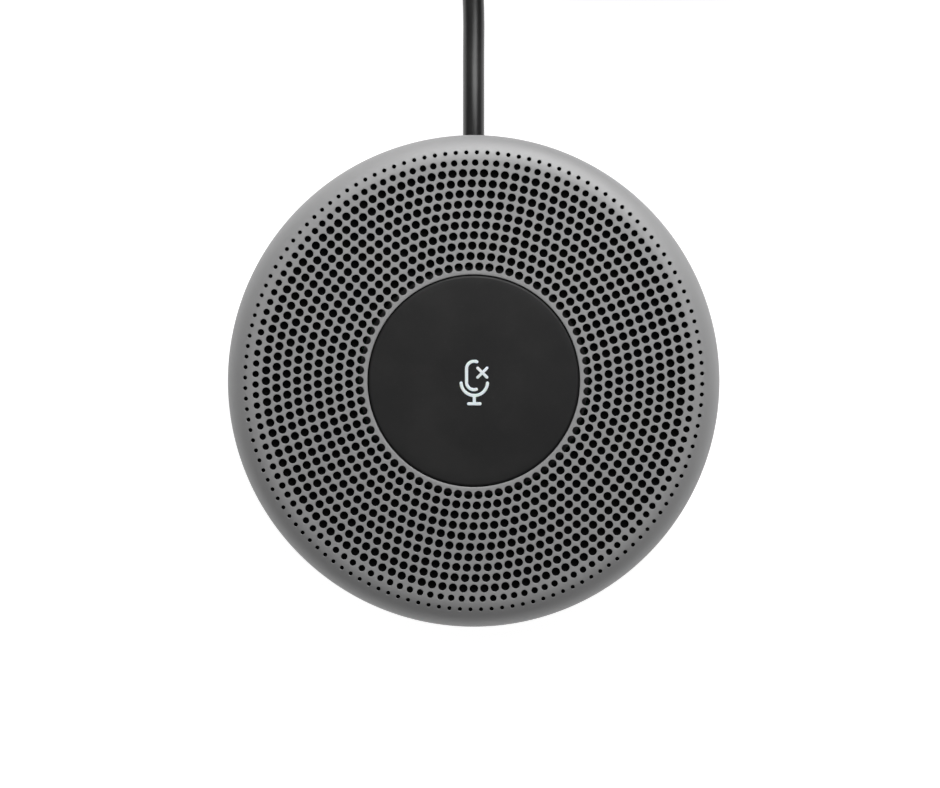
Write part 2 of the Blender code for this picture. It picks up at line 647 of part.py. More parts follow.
def key_hooks():
    """The key's snap hooks, heights from its skirt's bottom: a heel in the skirt, a leg, a barb."""
    bite = SKIRT_WALL / 2
    heel_size = (HOOK_THICKNESS + bite, HOOK_WIDTH, CAP_UNDER - CAP_SKIRT_BOTTOM - bite)
    heel_middle = (HOOK_INNER + heel_size[0] / 2, 0.0, (heel_size[2] + bite) / 2)
    drop = CAP_SKIRT_BOTTOM - BARB_BOTTOM
    leg_size = (HOOK_THICKNESS, HOOK_WIDTH, drop + bite)
    leg_middle = (HOOK_INNER + HOOK_THICKNESS / 2, 0.0, (bite - drop) / 2)
    barb_size = (BARB_OUTER - HOOK_INNER - HOOK_THICKNESS / 2, HOOK_WIDTH, BARB_HEIGHT)
    barb_middle = (BARB_OUTER - barb_size[0] / 2, 0.0, BARB_HEIGHT / 2 - drop)
    hooks = ((heel_size, heel_middle), (leg_size, leg_middle), (barb_size, barb_middle))
    return [repeated(block(size, middle), spots(0.0, HOOK_ANGLES)) for size, middle in hooks]


def mute_key():
    """The key cap with its snap hooks, and the light guide that presses the switch."""
    axis = moving_axis("mute_key_axis", CAP_SKIRT_BOTTOM)
    base = CAP_SKIRT_BOTTOM
    pocket = GUIDE_RADIUS + GAP
    rim = pocket + POCKET_WALL
    pocket_bottom = CAP_UNDER - POCKET_DEPTH
    edge = (BUTTON_RADIUS - BUTTON_ROUND, CAP_EDGE - BUTTON_ROUND)
    profile = [(0.0, CAP_UNDER), (pocket, CAP_UNDER), (pocket, pocket_bottom), (rim, pocket_bottom)]
    profile += [(rim, CAP_UNDER), (CAP_SKIRT_INNER, CAP_UNDER), (CAP_SKIRT_INNER, base)]
    profile += [(BUTTON_RADIUS, base)]
    profile += arc(edge, BUTTON_ROUND, 0.0, 90.0, 2)
    profile += [(BUTTON_RADIUS * 0.6, CAP_EDGE + BUTTON_CROWN * 0.64), (0.0, PUCK_HEIGHT)]
    profile = [(radius, height - base) for radius, height in profile]
    cap = add_object("button_cap", turned(profile, WIDE_STEPS), ((0.024, 0.024, 0.024), 0.5))
    cap.parent = axis
    for index, bm in enumerate(key_hooks(), 1):
        guide = add_object(f"key_hook_{index}", bm)
        guide.parent = axis
        boolean(cap, guide, "UNION")

    guide_bottom = PART_BASE + LED_SIZE[2] + PRESS_TRAVEL + 2 * GAP
    inner = GUIDE_RADIUS - GUIDE_WALL
    under = GUIDE_TOP - GUIDE_DISC
    stem = PLUNGER_TOP + GAP
    profile = [(0.0, stem), (STEM_RADIUS, stem), (STEM_RADIUS, under), (inner, under)]
    profile += [(inner, guide_bottom), (GUIDE_RADIUS, guide_bottom), (GUIDE_RADIUS, GUIDE_TOP)]
    profile += [(0.0, GUIDE_TOP)]
    profile = [(radius, height - base) for radius, height in profile]
    light = turned(profile, SMALL_STEPS * 2)
    add_object("light_guide", light, ((0.85, 0.85, 0.85), 0.3)).parent = axis


def return_ring():
    """The silicone ring that lifts the mute key again."""
    outer = BUTTON_RADIUS - GAP / 2
    bottom = SHELF_TOP + GAP
    bm = pipe(outer - RETURN_RING_WIDTH, outer, bottom, bottom + RETURN_RING_HEIGHT, MIDDLE_STEPS)
    add_object("return_ring", bm, ((0.5, 0.5, 0.48), 0.7))


def board_parts():
    """The status lights, chips and lead socket on the board."""
    light_spot = GUIDE_RADIUS - GUIDE_WALL / 2
    for index, degrees in enumerate(LED_ANGLES, 1):
        bm = block(LED_SIZE, (0.0, 0.0, PART_BASE + LED_SIZE[2] / 2))
        light = add_object(f"status_led_{index}", bm, ((0.9, 0.9, 0.85), 0.3))
        light.location = polar(light_spot, degrees)
        light.rotation_euler = (0.0, 0.0, math.radians(degrees + 90.0))
    for name, (width, height, degrees) in CHIPS.items():
        bm = block((width, width, height), (0.0, 0.0, PART_BASE + height / 2))
        add_object(name, bm, ((0.02, 0.02, 0.02), 0.45)).location = polar(CHIP_SPOT, degrees)
    socket_top = BOARD_BOTTOM - GAP
    header_back = CLAMP_Y - CLAMP_LENGTH / 2 - HEADER_BACK_ROOM
    header_y = header_back - HEADER_SIZE[1] / 2
    socket_y = header_back - HEADER_SIZE[1] - GAP - SOCKET_SIZE[1] / 2
    socket = block(SOCKET_SIZE, (0.0, socket_y, socket_top - SOCKET_SIZE[2] / 2))
    add_object("cable_socket", socket, ((0.85, 0.83, 0.76), 0.5))
    header_z = socket_top - SOCKET_SIZE[2] / 2
    header = block(HEADER_SIZE, (0.0, header_y, header_z))
    add_object("cable_header", header, ((0.8, 0.78, 0.7), 0.5))
    inner_leads(header_back + GAP, header_z)


def inner_leads(header_y, header_z):
    """The lead's four cores, from its jacket's end up to the header."""
    jacket_end = LEAD_IN_ROUTE[0][1] - GAP
    colours = {"red": (0.5, 0.02, 0.02), "white": (0.8, 0.8, 0.8)}
    colours |= {"green": (0.02, 0.3, 0.05), "black": (0.01, 0.01, 0.01)}
    for index, (name, colour) in enumerate(colours.items()):
        side = index - (len(colours) - 1) / 2
        start = Vector((side * CORE_PITCH, jacket_end, CABLE_Z))
        end = Vector((side * LEAD_PITCH, header_y, header_z))
        route = []
        for step in range(LEAD_STEPS + 1):
            share = step / LEAD_STEPS
            rise = (1.0 - math.cos(math.pi * share)) / 2
            point = start.lerp(end, share)
            point.z = start.z + (end.z - start.z) * rise
            route.append(point)
        tube(f"lead_{name}", route, LEAD_DIAMETER / 2, 1, (colour, 0.4))


def tube(name, points, radius, roundness, finish):
    """A round tube along the points, closed at both ends."""
    curve = bpy.data.curves.new(name, "CURVE")
    curve.dimensions = "3D"
    curve.bevel_depth = radius
    curve.bevel_resolution = roundness
    curve.use_fill_caps = True
    spline = curve.splines.new("POLY")
    spline.points.add(len(points) - 1)
    for target, point in zip(spline.points, points):
        target.co = (*point, 1.0)
    curve.materials.append(plain_material(name, *finish))
    thing = bpy.data.objects.new(name, curve)
    bpy.context.scene.collection.objects.link(thing)
    return thing


def smooth_route(route, spacing):
    """Points a spacing apart along a smooth curve through the route's own points."""
    knots = [Vector(point) for point in route]
    knots = [knots[0] * 2 - knots[1], *knots, knots[-1] * 2 - knots[-2]]
    points = []
    for before, start, end, after in zip(knots, knots[1:], knots[2:], knots[3:]):
        steps = max(1, round((end - start).length / spacing))
        for step in range(steps):
            points.append(curve_point(before, start, end, after, step / steps))
    points.append(knots[-2])
    return points


def curve_point(before, start, end, after, share):
    """A point of the Catmull-Rom curve between start and end."""
    square = share * share
    cube = square * share
    point = 2 * start + (end - before) * share
    point += (2 * before - 5 * start + 4 * end - after) * square
    return (point + (3 * start - before - 3 * end + after) * cube) / 2


def grommet_and_clamp():
    """The rubber sleeve in the housing's wall, and the clamp that holds the lead inside."""
    flange = GROMMET_RADIUS + GROMMET_FLANGE
    flange_end = GROMMET_INNER_Y + GROMMET_FLANGE_LENGTH
    mouth = SIDE_RADIUS - GAP
    profile = [(GROMMET_BORE, GROMMET_INNER_Y), (flange, GROMMET_INNER_Y), (flange, flange_end)]
    profile += [(GROMMET_RADIUS, flange_end), (GROMMET_RADIUS, mouth), (GROMMET_BORE, mouth)]
    sleeve = turned(profile, SMALL_STEPS)
    bmesh.ops.transform(sleeve, matrix=along_lead(), verts=sleeve.verts)
    add_object("cable_grommet", sleeve, ((0.015, 0.015, 0.015), 0.8))

    bottom = CABLE_Z + GAP / 2
    arch_top = CABLE_Z + GROMMET_BORE + CLAMP_WALL
    ear_top = bottom + CLAMP_EAR_HEIGHT
    ears_size = (2 * EAR_REACH, CLAMP_LENGTH, CLAMP_EAR_HEIGHT)
    ears = block(ears_size, (0.0, CLAMP_Y, (ear_top + bottom) / 2))
    clamp = add_object("cable_clamp", ears, ((0.05, 0.05, 0.05), 0.5))
    arch_bottom = bottom + CLAMP_EAR_HEIGHT / 2
    arch_size = (2 * (GROMMET_BORE + CLAMP_WALL), CLAMP_LENGTH, arch_top - arch_bottom)
    arch = block(arch_size, (0.0, CLAMP_Y, (arch_top + arch_bottom) / 2))
    join_guides(clamp, "clamp_arch", [arch])
    groove = rod(GROMMET_BORE, CLAMP_Y - CLAMP_LENGTH, CLAMP_Y + CLAMP_LENGTH, SMALL_STEPS)
    bmesh.ops.transform(groove, matrix=along_lead(), verts=groove.verts)
    ear_places = [Matrix.Translation((side * EAR_SPOT, CLAMP_Y, 0.0)) for side in (-1.0, 1.0)]
    ear_hole = rod(CLAMP_SCREW[0] + GAP, bottom - GAP, ear_top + GAP, TINY_STEPS)
    cut_guides(clamp, "clamp_cut", [groove, repeated(ear_hole, ear_places)])
    length = ear_top - FLOOR_TOP
    for index, side in enumerate((-1.0, 1.0), 1):
        place = (side * EAR_SPOT, CLAMP_Y)
        screw(f"clamp_screw_{index}", CLAMP_SCREW, ear_top + GAP, length, place, False)


def lead_and_coil():
    """The lead from the pod to its coil, the coil, its ties, and the lead's tail."""
    jacket = ((0.02, 0.02, 0.02), 0.35)
    spacing = 2.4 * CABLE_DIAMETER
    tube("cable", smooth_route(LEAD_IN_ROUTE, spacing), CABLE_RADIUS, 2, jacket)
    tube("cable_tail", smooth_route(TAIL_ROUTE, spacing), CABLE_RADIUS, 2, jacket)
    inner = COIL_OUTER - 2 * COIL_HALF_WIDTH
    shoulder = CABLE_RADIUS
    profile = [(inner + shoulder, COIL_BOTTOM), (COIL_OUTER - shoulder, COIL_BOTTOM)]
    profile += [(COIL_OUTER, COIL_BOTTOM + shoulder), (COIL_OUTER, COIL_TOP - shoulder)]
    profile += [(COIL_OUTER - shoulder, COIL_TOP), (inner + shoulder, COIL_TOP)]
    profile += [(inner, COIL_TOP - shoulder), (inner, COIL_BOTTOM + shoulder)]
    coil = add_object("cable_coil", turned(profile, MIDDLE_STEPS), jacket)
    coil.location = COIL_CENTRE
    for index, degrees in enumerate(TIE_ANGLES, 1):
        coil_tie(index, degrees, inner)


def coil_tie(index, degrees, inner):
    """A strap round the coil's section."""
    inside = math.sqrt(inner**2 - (TIE_WIDTH / 2) ** 2) - GAP
    outside = COIL_OUTER + GAP
    low = COIL_BOTTOM - GAP
    high = COIL_TOP + GAP
    wall = 2 * TIE_THICKNESS
    middle = ((inside + outside) / 2, 0.0, (low + high) / 2)
    outer_size = (outside - inside + wall, TIE_WIDTH, high - low + wall)
    strap = add_object(f"coil_tie_{index}", block(outer_size, middle), ((0.02, 0.02, 0.02), 0.9))
    hole_size = (outside - inside, TIE_WIDTH + wall, high - low)
    hole = add_object(f"coil_tie_hole_{index}", block(hole_size, middle))
    hole.parent = strap
    boolean(strap, hole, "DIFFERENCE")
    strap.location = COIL_CENTRE
    strap.rotation_euler = (0.0, 0.0, math.radians(degrees))


def plug():
    """The lead's plug, laid along its own X axis: grip with strain relief, metal shell, tongue."""
    frame = bpy.data.objects.new("plug_frame", None)
    frame.location = PLUG_START
    frame.rotation_euler = (0.0, 0.0, -math.pi / 2)
    bpy.context.scene.collection.objects.link(frame)
    length = GRIP_SIZE[0]
    root = RELIEF_LENGTH + 2 * GRIP_ROUND
    relief = [(0.0, 0.0), (RELIEF_RADII[0], 0.0), (RELIEF_RADII[1], RELIEF_LENGTH)]
    relief += [(RELIEF_RADII[1], root), (0.0, root)]
    taper = turned(relief, SMALL_STEPS)
    bmesh.ops.transform(taper, matrix=Matrix.Rotation(math.pi / 2, 4, "Y"), verts=taper.verts)
    moulding = block(GRIP_SIZE, (RELIEF_LENGTH + length / 2, 0.0, 0.0), GRIP_ROUND)
    grip = add_object("plug_grip", moulding, ((0.02, 0.02, 0.02), 0.5))
    grip.parent = frame
    strain_relief = add_object("plug_relief", taper)
    strain_relief.parent = frame
    boolean(grip, strain_relief, "UNION")

    shell_start = RELIEF_LENGTH + length + GAP
    shell_middle = shell_start + SHELL_SIZE[0] / 2
    tin = ((0.75, 0.75, 0.76), 0.25, 1.0)
    shell = add_object("plug_shell", block(SHELL_SIZE, (shell_middle, 0.0, 0.0)), tin)
    shell.parent = frame
    inside = (SHELL_SIZE[0], SHELL_SIZE[1] - 2 * SHELL_WALL, SHELL_SIZE[2] - 2 * SHELL_WALL)
    hollow = add_object("plug_hollow", block(inside, (shell_middle + SHELL_WALL * 2, 0.0, 0.0)))
    hollow.parent = frame
    boolean(shell, hollow, "DIFFERENCE")
    tongue_middle = shell_start + SHELL_WALL * 2 + GAP + TONGUE_SIZE[0] / 2
    tongue_z = SHELL_SIZE[2] / 2 - SHELL_WALL - GAP - TONGUE_SIZE[2] / 2
    tongue = block(TONGUE_SIZE, (tongue_middle, 0.0, tongue_z))
    add_object("plug_tongue", tongue, ((0.85, 0.85, 0.83), 0.5)).parent = frame


def main():
    """Builds every piece, from the foot up and then along the lead."""
    clear_scene()
    foot()
    bottom_housing()
    ballast()
    board()
    inner_frame()
    case_screws()
    board_screws()
    board_parts()
    microphones()
    switch()
    return_ring()
    mute_key()
    acoustic_cloth()
    grille()
    grommet_and_clamp()
    lead_and_coil()
    plug()


main()
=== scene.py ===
"""Look of a wired table microphone pod: grille, mute key, housing, lead, coil and plug.

Blender 4.5, metres, +Z up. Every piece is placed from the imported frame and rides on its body.
"""

import logging
import math
from collections.abc import Iterable, Sequence
from dataclasses import dataclass, field
from enum import Enum

import bmesh
import bpy
from mathutils import Matrix, Vector


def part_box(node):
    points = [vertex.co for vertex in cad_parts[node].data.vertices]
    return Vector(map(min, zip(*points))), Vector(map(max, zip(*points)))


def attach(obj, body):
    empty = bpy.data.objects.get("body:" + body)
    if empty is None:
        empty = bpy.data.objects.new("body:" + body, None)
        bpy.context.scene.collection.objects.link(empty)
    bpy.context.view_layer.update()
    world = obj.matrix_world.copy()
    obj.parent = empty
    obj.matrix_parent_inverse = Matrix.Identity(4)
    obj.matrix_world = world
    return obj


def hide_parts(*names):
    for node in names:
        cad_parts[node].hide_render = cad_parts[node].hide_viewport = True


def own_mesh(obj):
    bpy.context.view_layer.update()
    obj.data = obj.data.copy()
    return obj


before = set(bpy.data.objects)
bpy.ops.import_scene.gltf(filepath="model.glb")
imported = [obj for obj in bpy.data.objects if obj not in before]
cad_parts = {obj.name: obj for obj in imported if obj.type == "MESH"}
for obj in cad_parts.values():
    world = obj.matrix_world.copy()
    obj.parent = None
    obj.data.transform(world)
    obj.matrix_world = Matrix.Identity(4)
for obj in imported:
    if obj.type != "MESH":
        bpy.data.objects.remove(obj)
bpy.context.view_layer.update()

LOG = logging.getLogger("microphone_pod")
MM = 0.001
MERGE = 0.000001
Outline = list[tuple[float, float]]
Colour = tuple[float, float, float]


class Body(Enum):
    """The bodies that pieces ride on."""

    POD = "base"
    KEY = "mute_button"


class Pattern(Enum):
    """The surface patterns that a finish can have."""

    MOULDED = "moulded"
    WOVEN = "woven"
    BRUSHED = "brushed"
    LAMINATE = "laminate"


class NodeTree:
    """Adds nodes to one node tree and links them."""

    def __init__(self, tree: bpy.types.NodeTree) -> None:
        """Keeps the tree that nodes are added to."""
        self.tree = tree

    def add(self, kind: str, inputs: dict | None = None, **settings) -> bpy.types.Node:
        """Adds a node.

        Args:
            kind: The node's type name without its "ShaderNode".
            inputs: Values or output sockets by input name or number.
            settings: The node's own properties.

        Returns:
            The new node.
        """
        node = self.tree.nodes.new(kind if kind.startswith("Node") else "ShaderNode" + kind)
        for name, value in settings.items():
            setattr(node, name, value)
        for name, value in (inputs or {}).items():
            if isinstance(value, bpy.types.NodeSocket):
                self.tree.links.new(value, node.inputs[name])
            else:
                node.inputs[name].default_value = value
        return node

    def sums(self, operation: str, *values) -> bpy.types.NodeSocket:
        """Adds a Math node over one to three values and gives its output."""
        node = self.add("Math", dict(enumerate(values)), operation=operation)
        return node.outputs[0]

    def blend(self, share, start, end) -> bpy.types.NodeSocket:
        """Adds a colour mix and gives its output."""
        node = self.add("Mix", data_type="RGBA", clamp_factor=True)
        for number, value in ((0, share), (6, start), (7, end)):
            if isinstance(value, bpy.types.NodeSocket):
                self.tree.links.new(value, node.inputs[number])
            elif number == 0:
                node.inputs[number].default_value = value
            else:
                node.inputs[number].default_value = (*value, 1.0)
        return node.outputs[2]

    def spread(self, value, low: float, high: float, start=0.0, end=1.0) -> bpy.types.NodeSocket:
        """Adds a smooth Map Range from low..high to start..end and gives its output."""
        inputs = {"Value": value, "From Min": low, "From Max": high, "To Min": start, "To Max": end}
        node = self.add("MapRange", inputs, interpolation_type="SMOOTHSTEP")
        return node.outputs["Result"]

    def noise(self, place, scale, detail: float = 3.0) -> bpy.types.NodeSocket:
        """Adds a noise texture and gives its value."""
        inputs = {"Vector": place, "Scale": scale, "Detail": detail}
        return self.add("TexNoise", inputs).outputs[0]


class EffectGroups:
    """The node groups that several finishes share, each built once."""

    SLOW_SHARE = 0.02
    WORN_PATCH_SCALE = 320.0
    DUST_PATCH_SCALE = 90.0
    SPECK_SCALE = 2600.0
    FLUFF_SCALE = 3000.0
    DUST_COLOUR = (0.5, 0.48, 0.45)
    DUST_ROUGHENS = 0.4

    def __init__(self) -> None:
        """Builds every group."""
        self.grain = self._grain()
        self.worn = self._worn()
        self.dust = self._dust()
        self.weave = self._weave()

    def _group(self, name: str, inputs: dict, outputs: dict) -> tuple:
        """Starts a group.

        Args:
            name: The group's name.
            inputs: Socket type and default by input name.
            outputs: Socket type by output name.

        Returns:
            The group, its node adder, its input sockets and its output node.
        """
        group = bpy.data.node_groups.new(name, "ShaderNodeTree")
        sockets = group.interface
        for title, (kind, value) in inputs.items():
            kind = "NodeSocket" + kind
            socket = sockets.new_socket(title, in_out="INPUT", socket_type=kind)
            if value is not None:
                socket.default_value = value
        for title, kind in outputs.items():
            sockets.new_socket(title, in_out="OUTPUT", socket_type="NodeSocket" + kind)
        nodes = NodeTree(group)
        return group, nodes, nodes.add("NodeGroupInput").outputs, nodes.add("NodeGroupOutput")

    def _grain(self) -> bpy.types.NodeTree:
        """Fine moulded or sprayed grain with slow changes of shade and gloss."""
        group, nodes, given, result = self._group(
            "moulded_grain",
            {
                "Vector": ("Vector", None),
                "Scale": ("Float", 4000.0),
                "Colour": ("Color", (0.1, 0.1, 0.1, 1.0)),
                "Shade": ("Float", 0.1),
                "Roughness": ("Float", 0.5),
                "Spread": ("Float", 0.1),
            },
            {"Colour": "Color", "Roughness": "Float", "Height": "Float"},
        )
        fine = nodes.noise(given["Vector"], given["Scale"], 2.0)
        slow_scale = nodes.sums("MULTIPLY", given["Scale"], self.SLOW_SHARE)
        slow = nodes.noise(given["Vector"], slow_scale, 4.0)
        uneven = nodes.sums("SUBTRACT", slow, 0.5)
        speckle = nodes.sums("SUBTRACT", fine, 0.5)
        both = nodes.sums("ADD", uneven, speckle)
        gain = nodes.sums("MULTIPLY_ADD", both, given["Shade"], 1.0)
        colour = nodes.add("VectorMath", {0: given["Colour"]}, operation="SCALE")
        group.links.new(gain, colour.inputs["Scale"])
        rough = nodes.sums("MULTIPLY_ADD", uneven, given["Spread"], given["Roughness"])
        half_spread = nodes.sums("MULTIPLY", given["Spread"], 0.5)
        rough = nodes.sums("MULTIPLY_ADD", speckle, half_spread, rough)
        group.links.new(colour.outputs[0], result.inputs["Colour"])
        group.links.new(rough, result.inputs["Roughness"])
        group.links.new(fine, result.inputs["Height"])
        return group

    def _worn(self) -> bpy.types.NodeTree:
        """Edges rubbed lighter and smoother, in uneven patches."""
        group, nodes, given, result = self._group(
            "worn_edges",
            {
                "Vector": ("Vector", None),
                "Width": ("Float", 0.0003),
                "Amount": ("Float", 0.3),
                "Colour": ("Color", (0.1, 0.1, 0.1, 1.0)),
                "Worn Colour": ("Color", (0.2, 0.2, 0.2, 1.0)),
                "Roughness": ("Float", 0.5),
                "Worn Roughness": ("Float", 0.3),
            },
            {"Colour": "Color", "Roughness": "Float"},
        )
        round_over = nodes.add("Bevel", {"Radius": given["Width"]}, samples=4)
        true_face = nodes.add("NewGeometry")
        match = nodes.add("VectorMath", {0: round_over.outputs[0]}, operation="DOT_PRODUCT")
        group.links.new(true_face.outputs["Normal"], match.inputs[1])
        edge = nodes.spread(match.outputs["Value"], 0.998, 0.9)
        patches = nodes.spread(nodes.noise(given["Vector"], self.WORN_PATCH_SCALE, 4.0), 0.38, 0.62)
        share = nodes.sums("MULTIPLY", nodes.sums("MULTIPLY", edge, patches), given["Amount"])
        colour = nodes.blend(share, given["Colour"], given["Worn Colour"])
        rough = nodes.add("Mix", {0: share}, data_type="FLOAT")
        group.links.new(given["Roughness"], rough.inputs[2])
        group.links.new(given["Worn Roughness"], rough.inputs[3])
        group.links.new(colour, result.inputs["Colour"])
        group.links.new(rough.outputs[0], result.inputs["Roughness"])
        return group

    def _dust(self) -> bpy.types.NodeTree:
        """Thin dust on faces that look upwards, thicker in patches."""
        group, nodes, given, result = self._group(
            "settled_dust",
            {
                "Vector": ("Vector", None),
                "Amount": ("Float", 0.05),
                "Colour": ("Color", (0.1, 0.1, 0.1, 1.0)),
                "Roughness": ("Float", 0.5),
            },
            {"Colour": "Color", "Roughness": "Float"},
        )
        upright = nodes.add("SeparateXYZ", {0: nodes.add("NewGeometry").outputs["Normal"]})
        level = nodes.spread(upright.outputs["Z"], 0.2, 1.0)
        patches = nodes.spread(nodes.noise(given["Vector"], self.DUST_PATCH_SCALE, 6.0), 0.35, 0.75)
        specks = nodes.spread(nodes.noise(given["Vector"], self.SPECK_SCALE, 1.0), 0.66, 0.76)
        cover = nodes.sums("MULTIPLY_ADD", specks, 0.6, patches)
        share = nodes.sums("MULTIPLY", nodes.sums("MULTIPLY", cover, level), given["Amount"])
        colour = nodes.blend(share, given["Colour"], self.DUST_COLOUR)
        rough = nodes.sums("MULTIPLY_ADD", share, self.DUST_ROUGHENS, given["Roughness"])
        group.links.new(colour, result.inputs["Colour"])
        group.links.new(rough, result.inputs["Roughness"])
        return group

    def _weave(self) -> bpy.types.NodeTree:
        """Plain weave: threads along X pass over and under threads along Y. Its colour is painted
        lighter on the raised crossings and darker in the hollows between threads, a painted
        highlight and painted shade, with random fluff on top.
        """
        group, nodes, given, result = self._group(
            "plain_weave",
            {
                "Vector": ("Vector", None),
                "Pitch": ("Float", 0.0003),
                "Colour": ("Color", (0.02, 0.02, 0.02, 1.0)),
                "Lit Thread Colour": ("Color", (0.05, 0.05, 0.05, 1.0)),
            },
            {"Colour": "Color", "Height": "Float", "Roughness": "Float"},
        )
        scaled = nodes.add("VectorMath", {0: given["Vector"]}, operation="SCALE")
        group.links.new(nodes.sums("DIVIDE", math.pi, given["Pitch"]), scaled.inputs["Scale"])
        axes = nodes.add("SeparateXYZ", {0: scaled.outputs[0]})
        along = nodes.sums("SINE", axes.outputs["X"])
        across = nodes.sums("SINE", nodes.sums("ADD", axes.outputs["Y"], axes.outputs["Z"]))
        over = nodes.sums("MULTIPLY", along, across)
        height = nodes.sums("MULTIPLY_ADD", over, 0.5, 0.5)
        fluff = nodes.noise(given["Vector"], self.FLUFF_SCALE, 3.0)
        # painted shade and highlight: the colour follows the weave's height, darker in the hollows
        # and lighter on raised threads; the fluff noise adds random tone
        shade = nodes.sums("MULTIPLY", height, fluff)
        colour = nodes.blend(shade, given["Colour"], given["Lit Thread Colour"])
        group.links.new(colour, result.inputs["Colour"])
        group.links.new(height, result.inputs["Height"])
        group.links.new(nodes.spread(fluff, 0.2, 0.8, 0.8, 1.0), result.inputs["Roughness"])
        return group


@dataclass(frozen=True)
class Finish:
    """One finish: its colour, gloss and pattern, with lengths in metres."""

    name: str
    slot: str
    colour: Colour
    roughness: float = 0.5
    pattern: Pattern = Pattern.MOULDED
    metallic: float = 0.0
    shade: float = 0.12
    gloss_spread: float = 0.12
    grain: float = 4500.0
    depth: float = 0.00001
    strength: float = 0.25
    wear: float = 0.25
    wear_width: float = 0.0003
    worn_colour: Colour = (0.2, 0.2, 0.2)
    dust: float = 0.03
    coat: float = 0.0
    coat_roughness: float = 0.2
    sheen: float = 0.0
    transmission: float = 0.0
    subsurface: float = 0.0
    specular: float = 0.5
    turn: float = 0.0
    pitch: float = 0.0003

    def build(self, groups: EffectGroups) -> bpy.types.Material:
        """Makes the material.

        Args:
            groups: The shared effect groups.

        Returns:
            A node-based material.
        """
        material = bpy.data.materials.new(self.name)
        material.use_nodes = True
        material.node_tree.nodes.clear()
        nodes = NodeTree(material.node_tree)
        place = nodes.add("Mapping", {"Vector": nodes.add("TexCoord").outputs["Object"]})
        place.inputs["Rotation"].default_value = (0.0, 0.0, math.radians(self.turn))
        colour, rough, height = self._surface(nodes, groups, place.outputs[0])
        if self.wear:
            colour, rough = self._effect(
                nodes,
                groups.worn,
                {
                    "Vector": place.outputs[0],
                    "Width": self.wear_width,
                    "Amount": self.wear,
                    "Colour": colour,
                    "Worn Colour": (*self.worn_colour, 1.0),
                    "Roughness": rough,
                    "Worn Roughness": self.roughness * 0.7,
                },
            )
        if self.dust:
            inputs = {"Vector": place.outputs[0], "Amount": self.dust, "Colour": colour,
                      "Roughness": rough}
            colour, rough = self._effect(nodes, groups.dust, inputs)
        bump = nodes.add(
            "Bump", {"Strength": self.strength, "Distance": self.depth, "Height": height}
        )
        shader = nodes.add(
            "BsdfPrincipled",
            {
                "Base Color": colour,
                "Roughness": rough,
                "Metallic": self.metallic,
                "Normal": bump.outputs[0],
                "Coat Weight": self.coat,
                "Coat Roughness": self.coat_roughness,
                "Sheen Weight": self.sheen,
                "Transmission Weight": self.transmission,
                "Subsurface Weight": self.subsurface,
                "Subsurface Scale": 0.002,
                "Specular IOR Level": self.specular,
            },
        )
        nodes.add("OutputMaterial", {"Surface": shader.outputs[0]})
        return material

    def _effect(self, nodes: NodeTree, group: bpy.types.NodeTree, inputs: dict) -> tuple:
        """Places a group and gives its Colour and Roughness outputs."""
        node = nodes.add("Group", node_tree=group)
        for name, value in inputs.items():
            if isinstance(value, bpy.types.NodeSocket):
                nodes.tree.links.new(value, node.inputs[name])
            else:
                node.inputs[name].default_value = value
        return node.outputs["Colour"], node.outputs["Roughness"]

    def _surface(self, nodes: NodeTree, groups: EffectGroups, place: bpy.types.NodeSocket) -> tuple:
        """Adds the pattern's own nodes.

        Args:
            nodes: The material's node adder.
            groups: The shared effect groups.
            place: Where on the piece a point lies.

        Returns:
            Colour, roughness and height sockets.
        """
        if self.pattern is Pattern.WOVEN:
            node = nodes.add("Group", node_tree=groups.weave)
            nodes.tree.links.new(place, node.inputs["Vector"])
            node.inputs["Pitch"].default_value = self.pitch
            node.inputs["Colour"].default_value = (*self.colour, 1.0)
            # painted highlight colour for the weave's raised threads
            light = tuple(min(1.0, part * 2.6 + 0.01) for part in self.colour)
            node.inputs["Lit Thread Colour"].default_value = (*light, 1.0)
            return node.outputs["Colour"], node.outputs["Roughness"], node.outputs["Height"]
        if self.pattern is Pattern.BRUSHED:
            place = nodes.add("Mapping", {"Vector": place, "Scale": (1.0, 0.03, 1.0)}).outputs[0]
        node = nodes.add("Group", node_tree=groups.grain)
        nodes.tree.links.new(place, node.inputs["Vector"])
        node.inputs["Scale"].default_value = self.grain
        node.inputs["Colour"].default_value = (*self.colour, 1.0)
        node.inputs["Shade"].default_value = self.shade
        node.inputs["Roughness"].default_value = self.roughness
        node.inputs["Spread"].default_value = self.gloss_spread
        colour, height = node.outputs["Colour"], node.outputs["Height"]
        if self.pattern is Pattern.LAMINATE:
            cells = nodes.add("TexVoronoi", {"Vector": place, "Scale": 420.0}, distance="MANHATTAN")
            cells.feature = "DISTANCE_TO_EDGE"
            tracks = nodes.spread(cells.outputs["Distance"], 0.05, 0.09, 1.0, 0.0)
            light = tuple(min(1.0, part * 1.9 + 0.01) for part in self.colour)
            colour = nodes.blend(tracks, colour, light)
            height = nodes.sums("MULTIPLY_ADD", tracks, 1.5, height)
        return colour, node.outputs["Roughness"], height


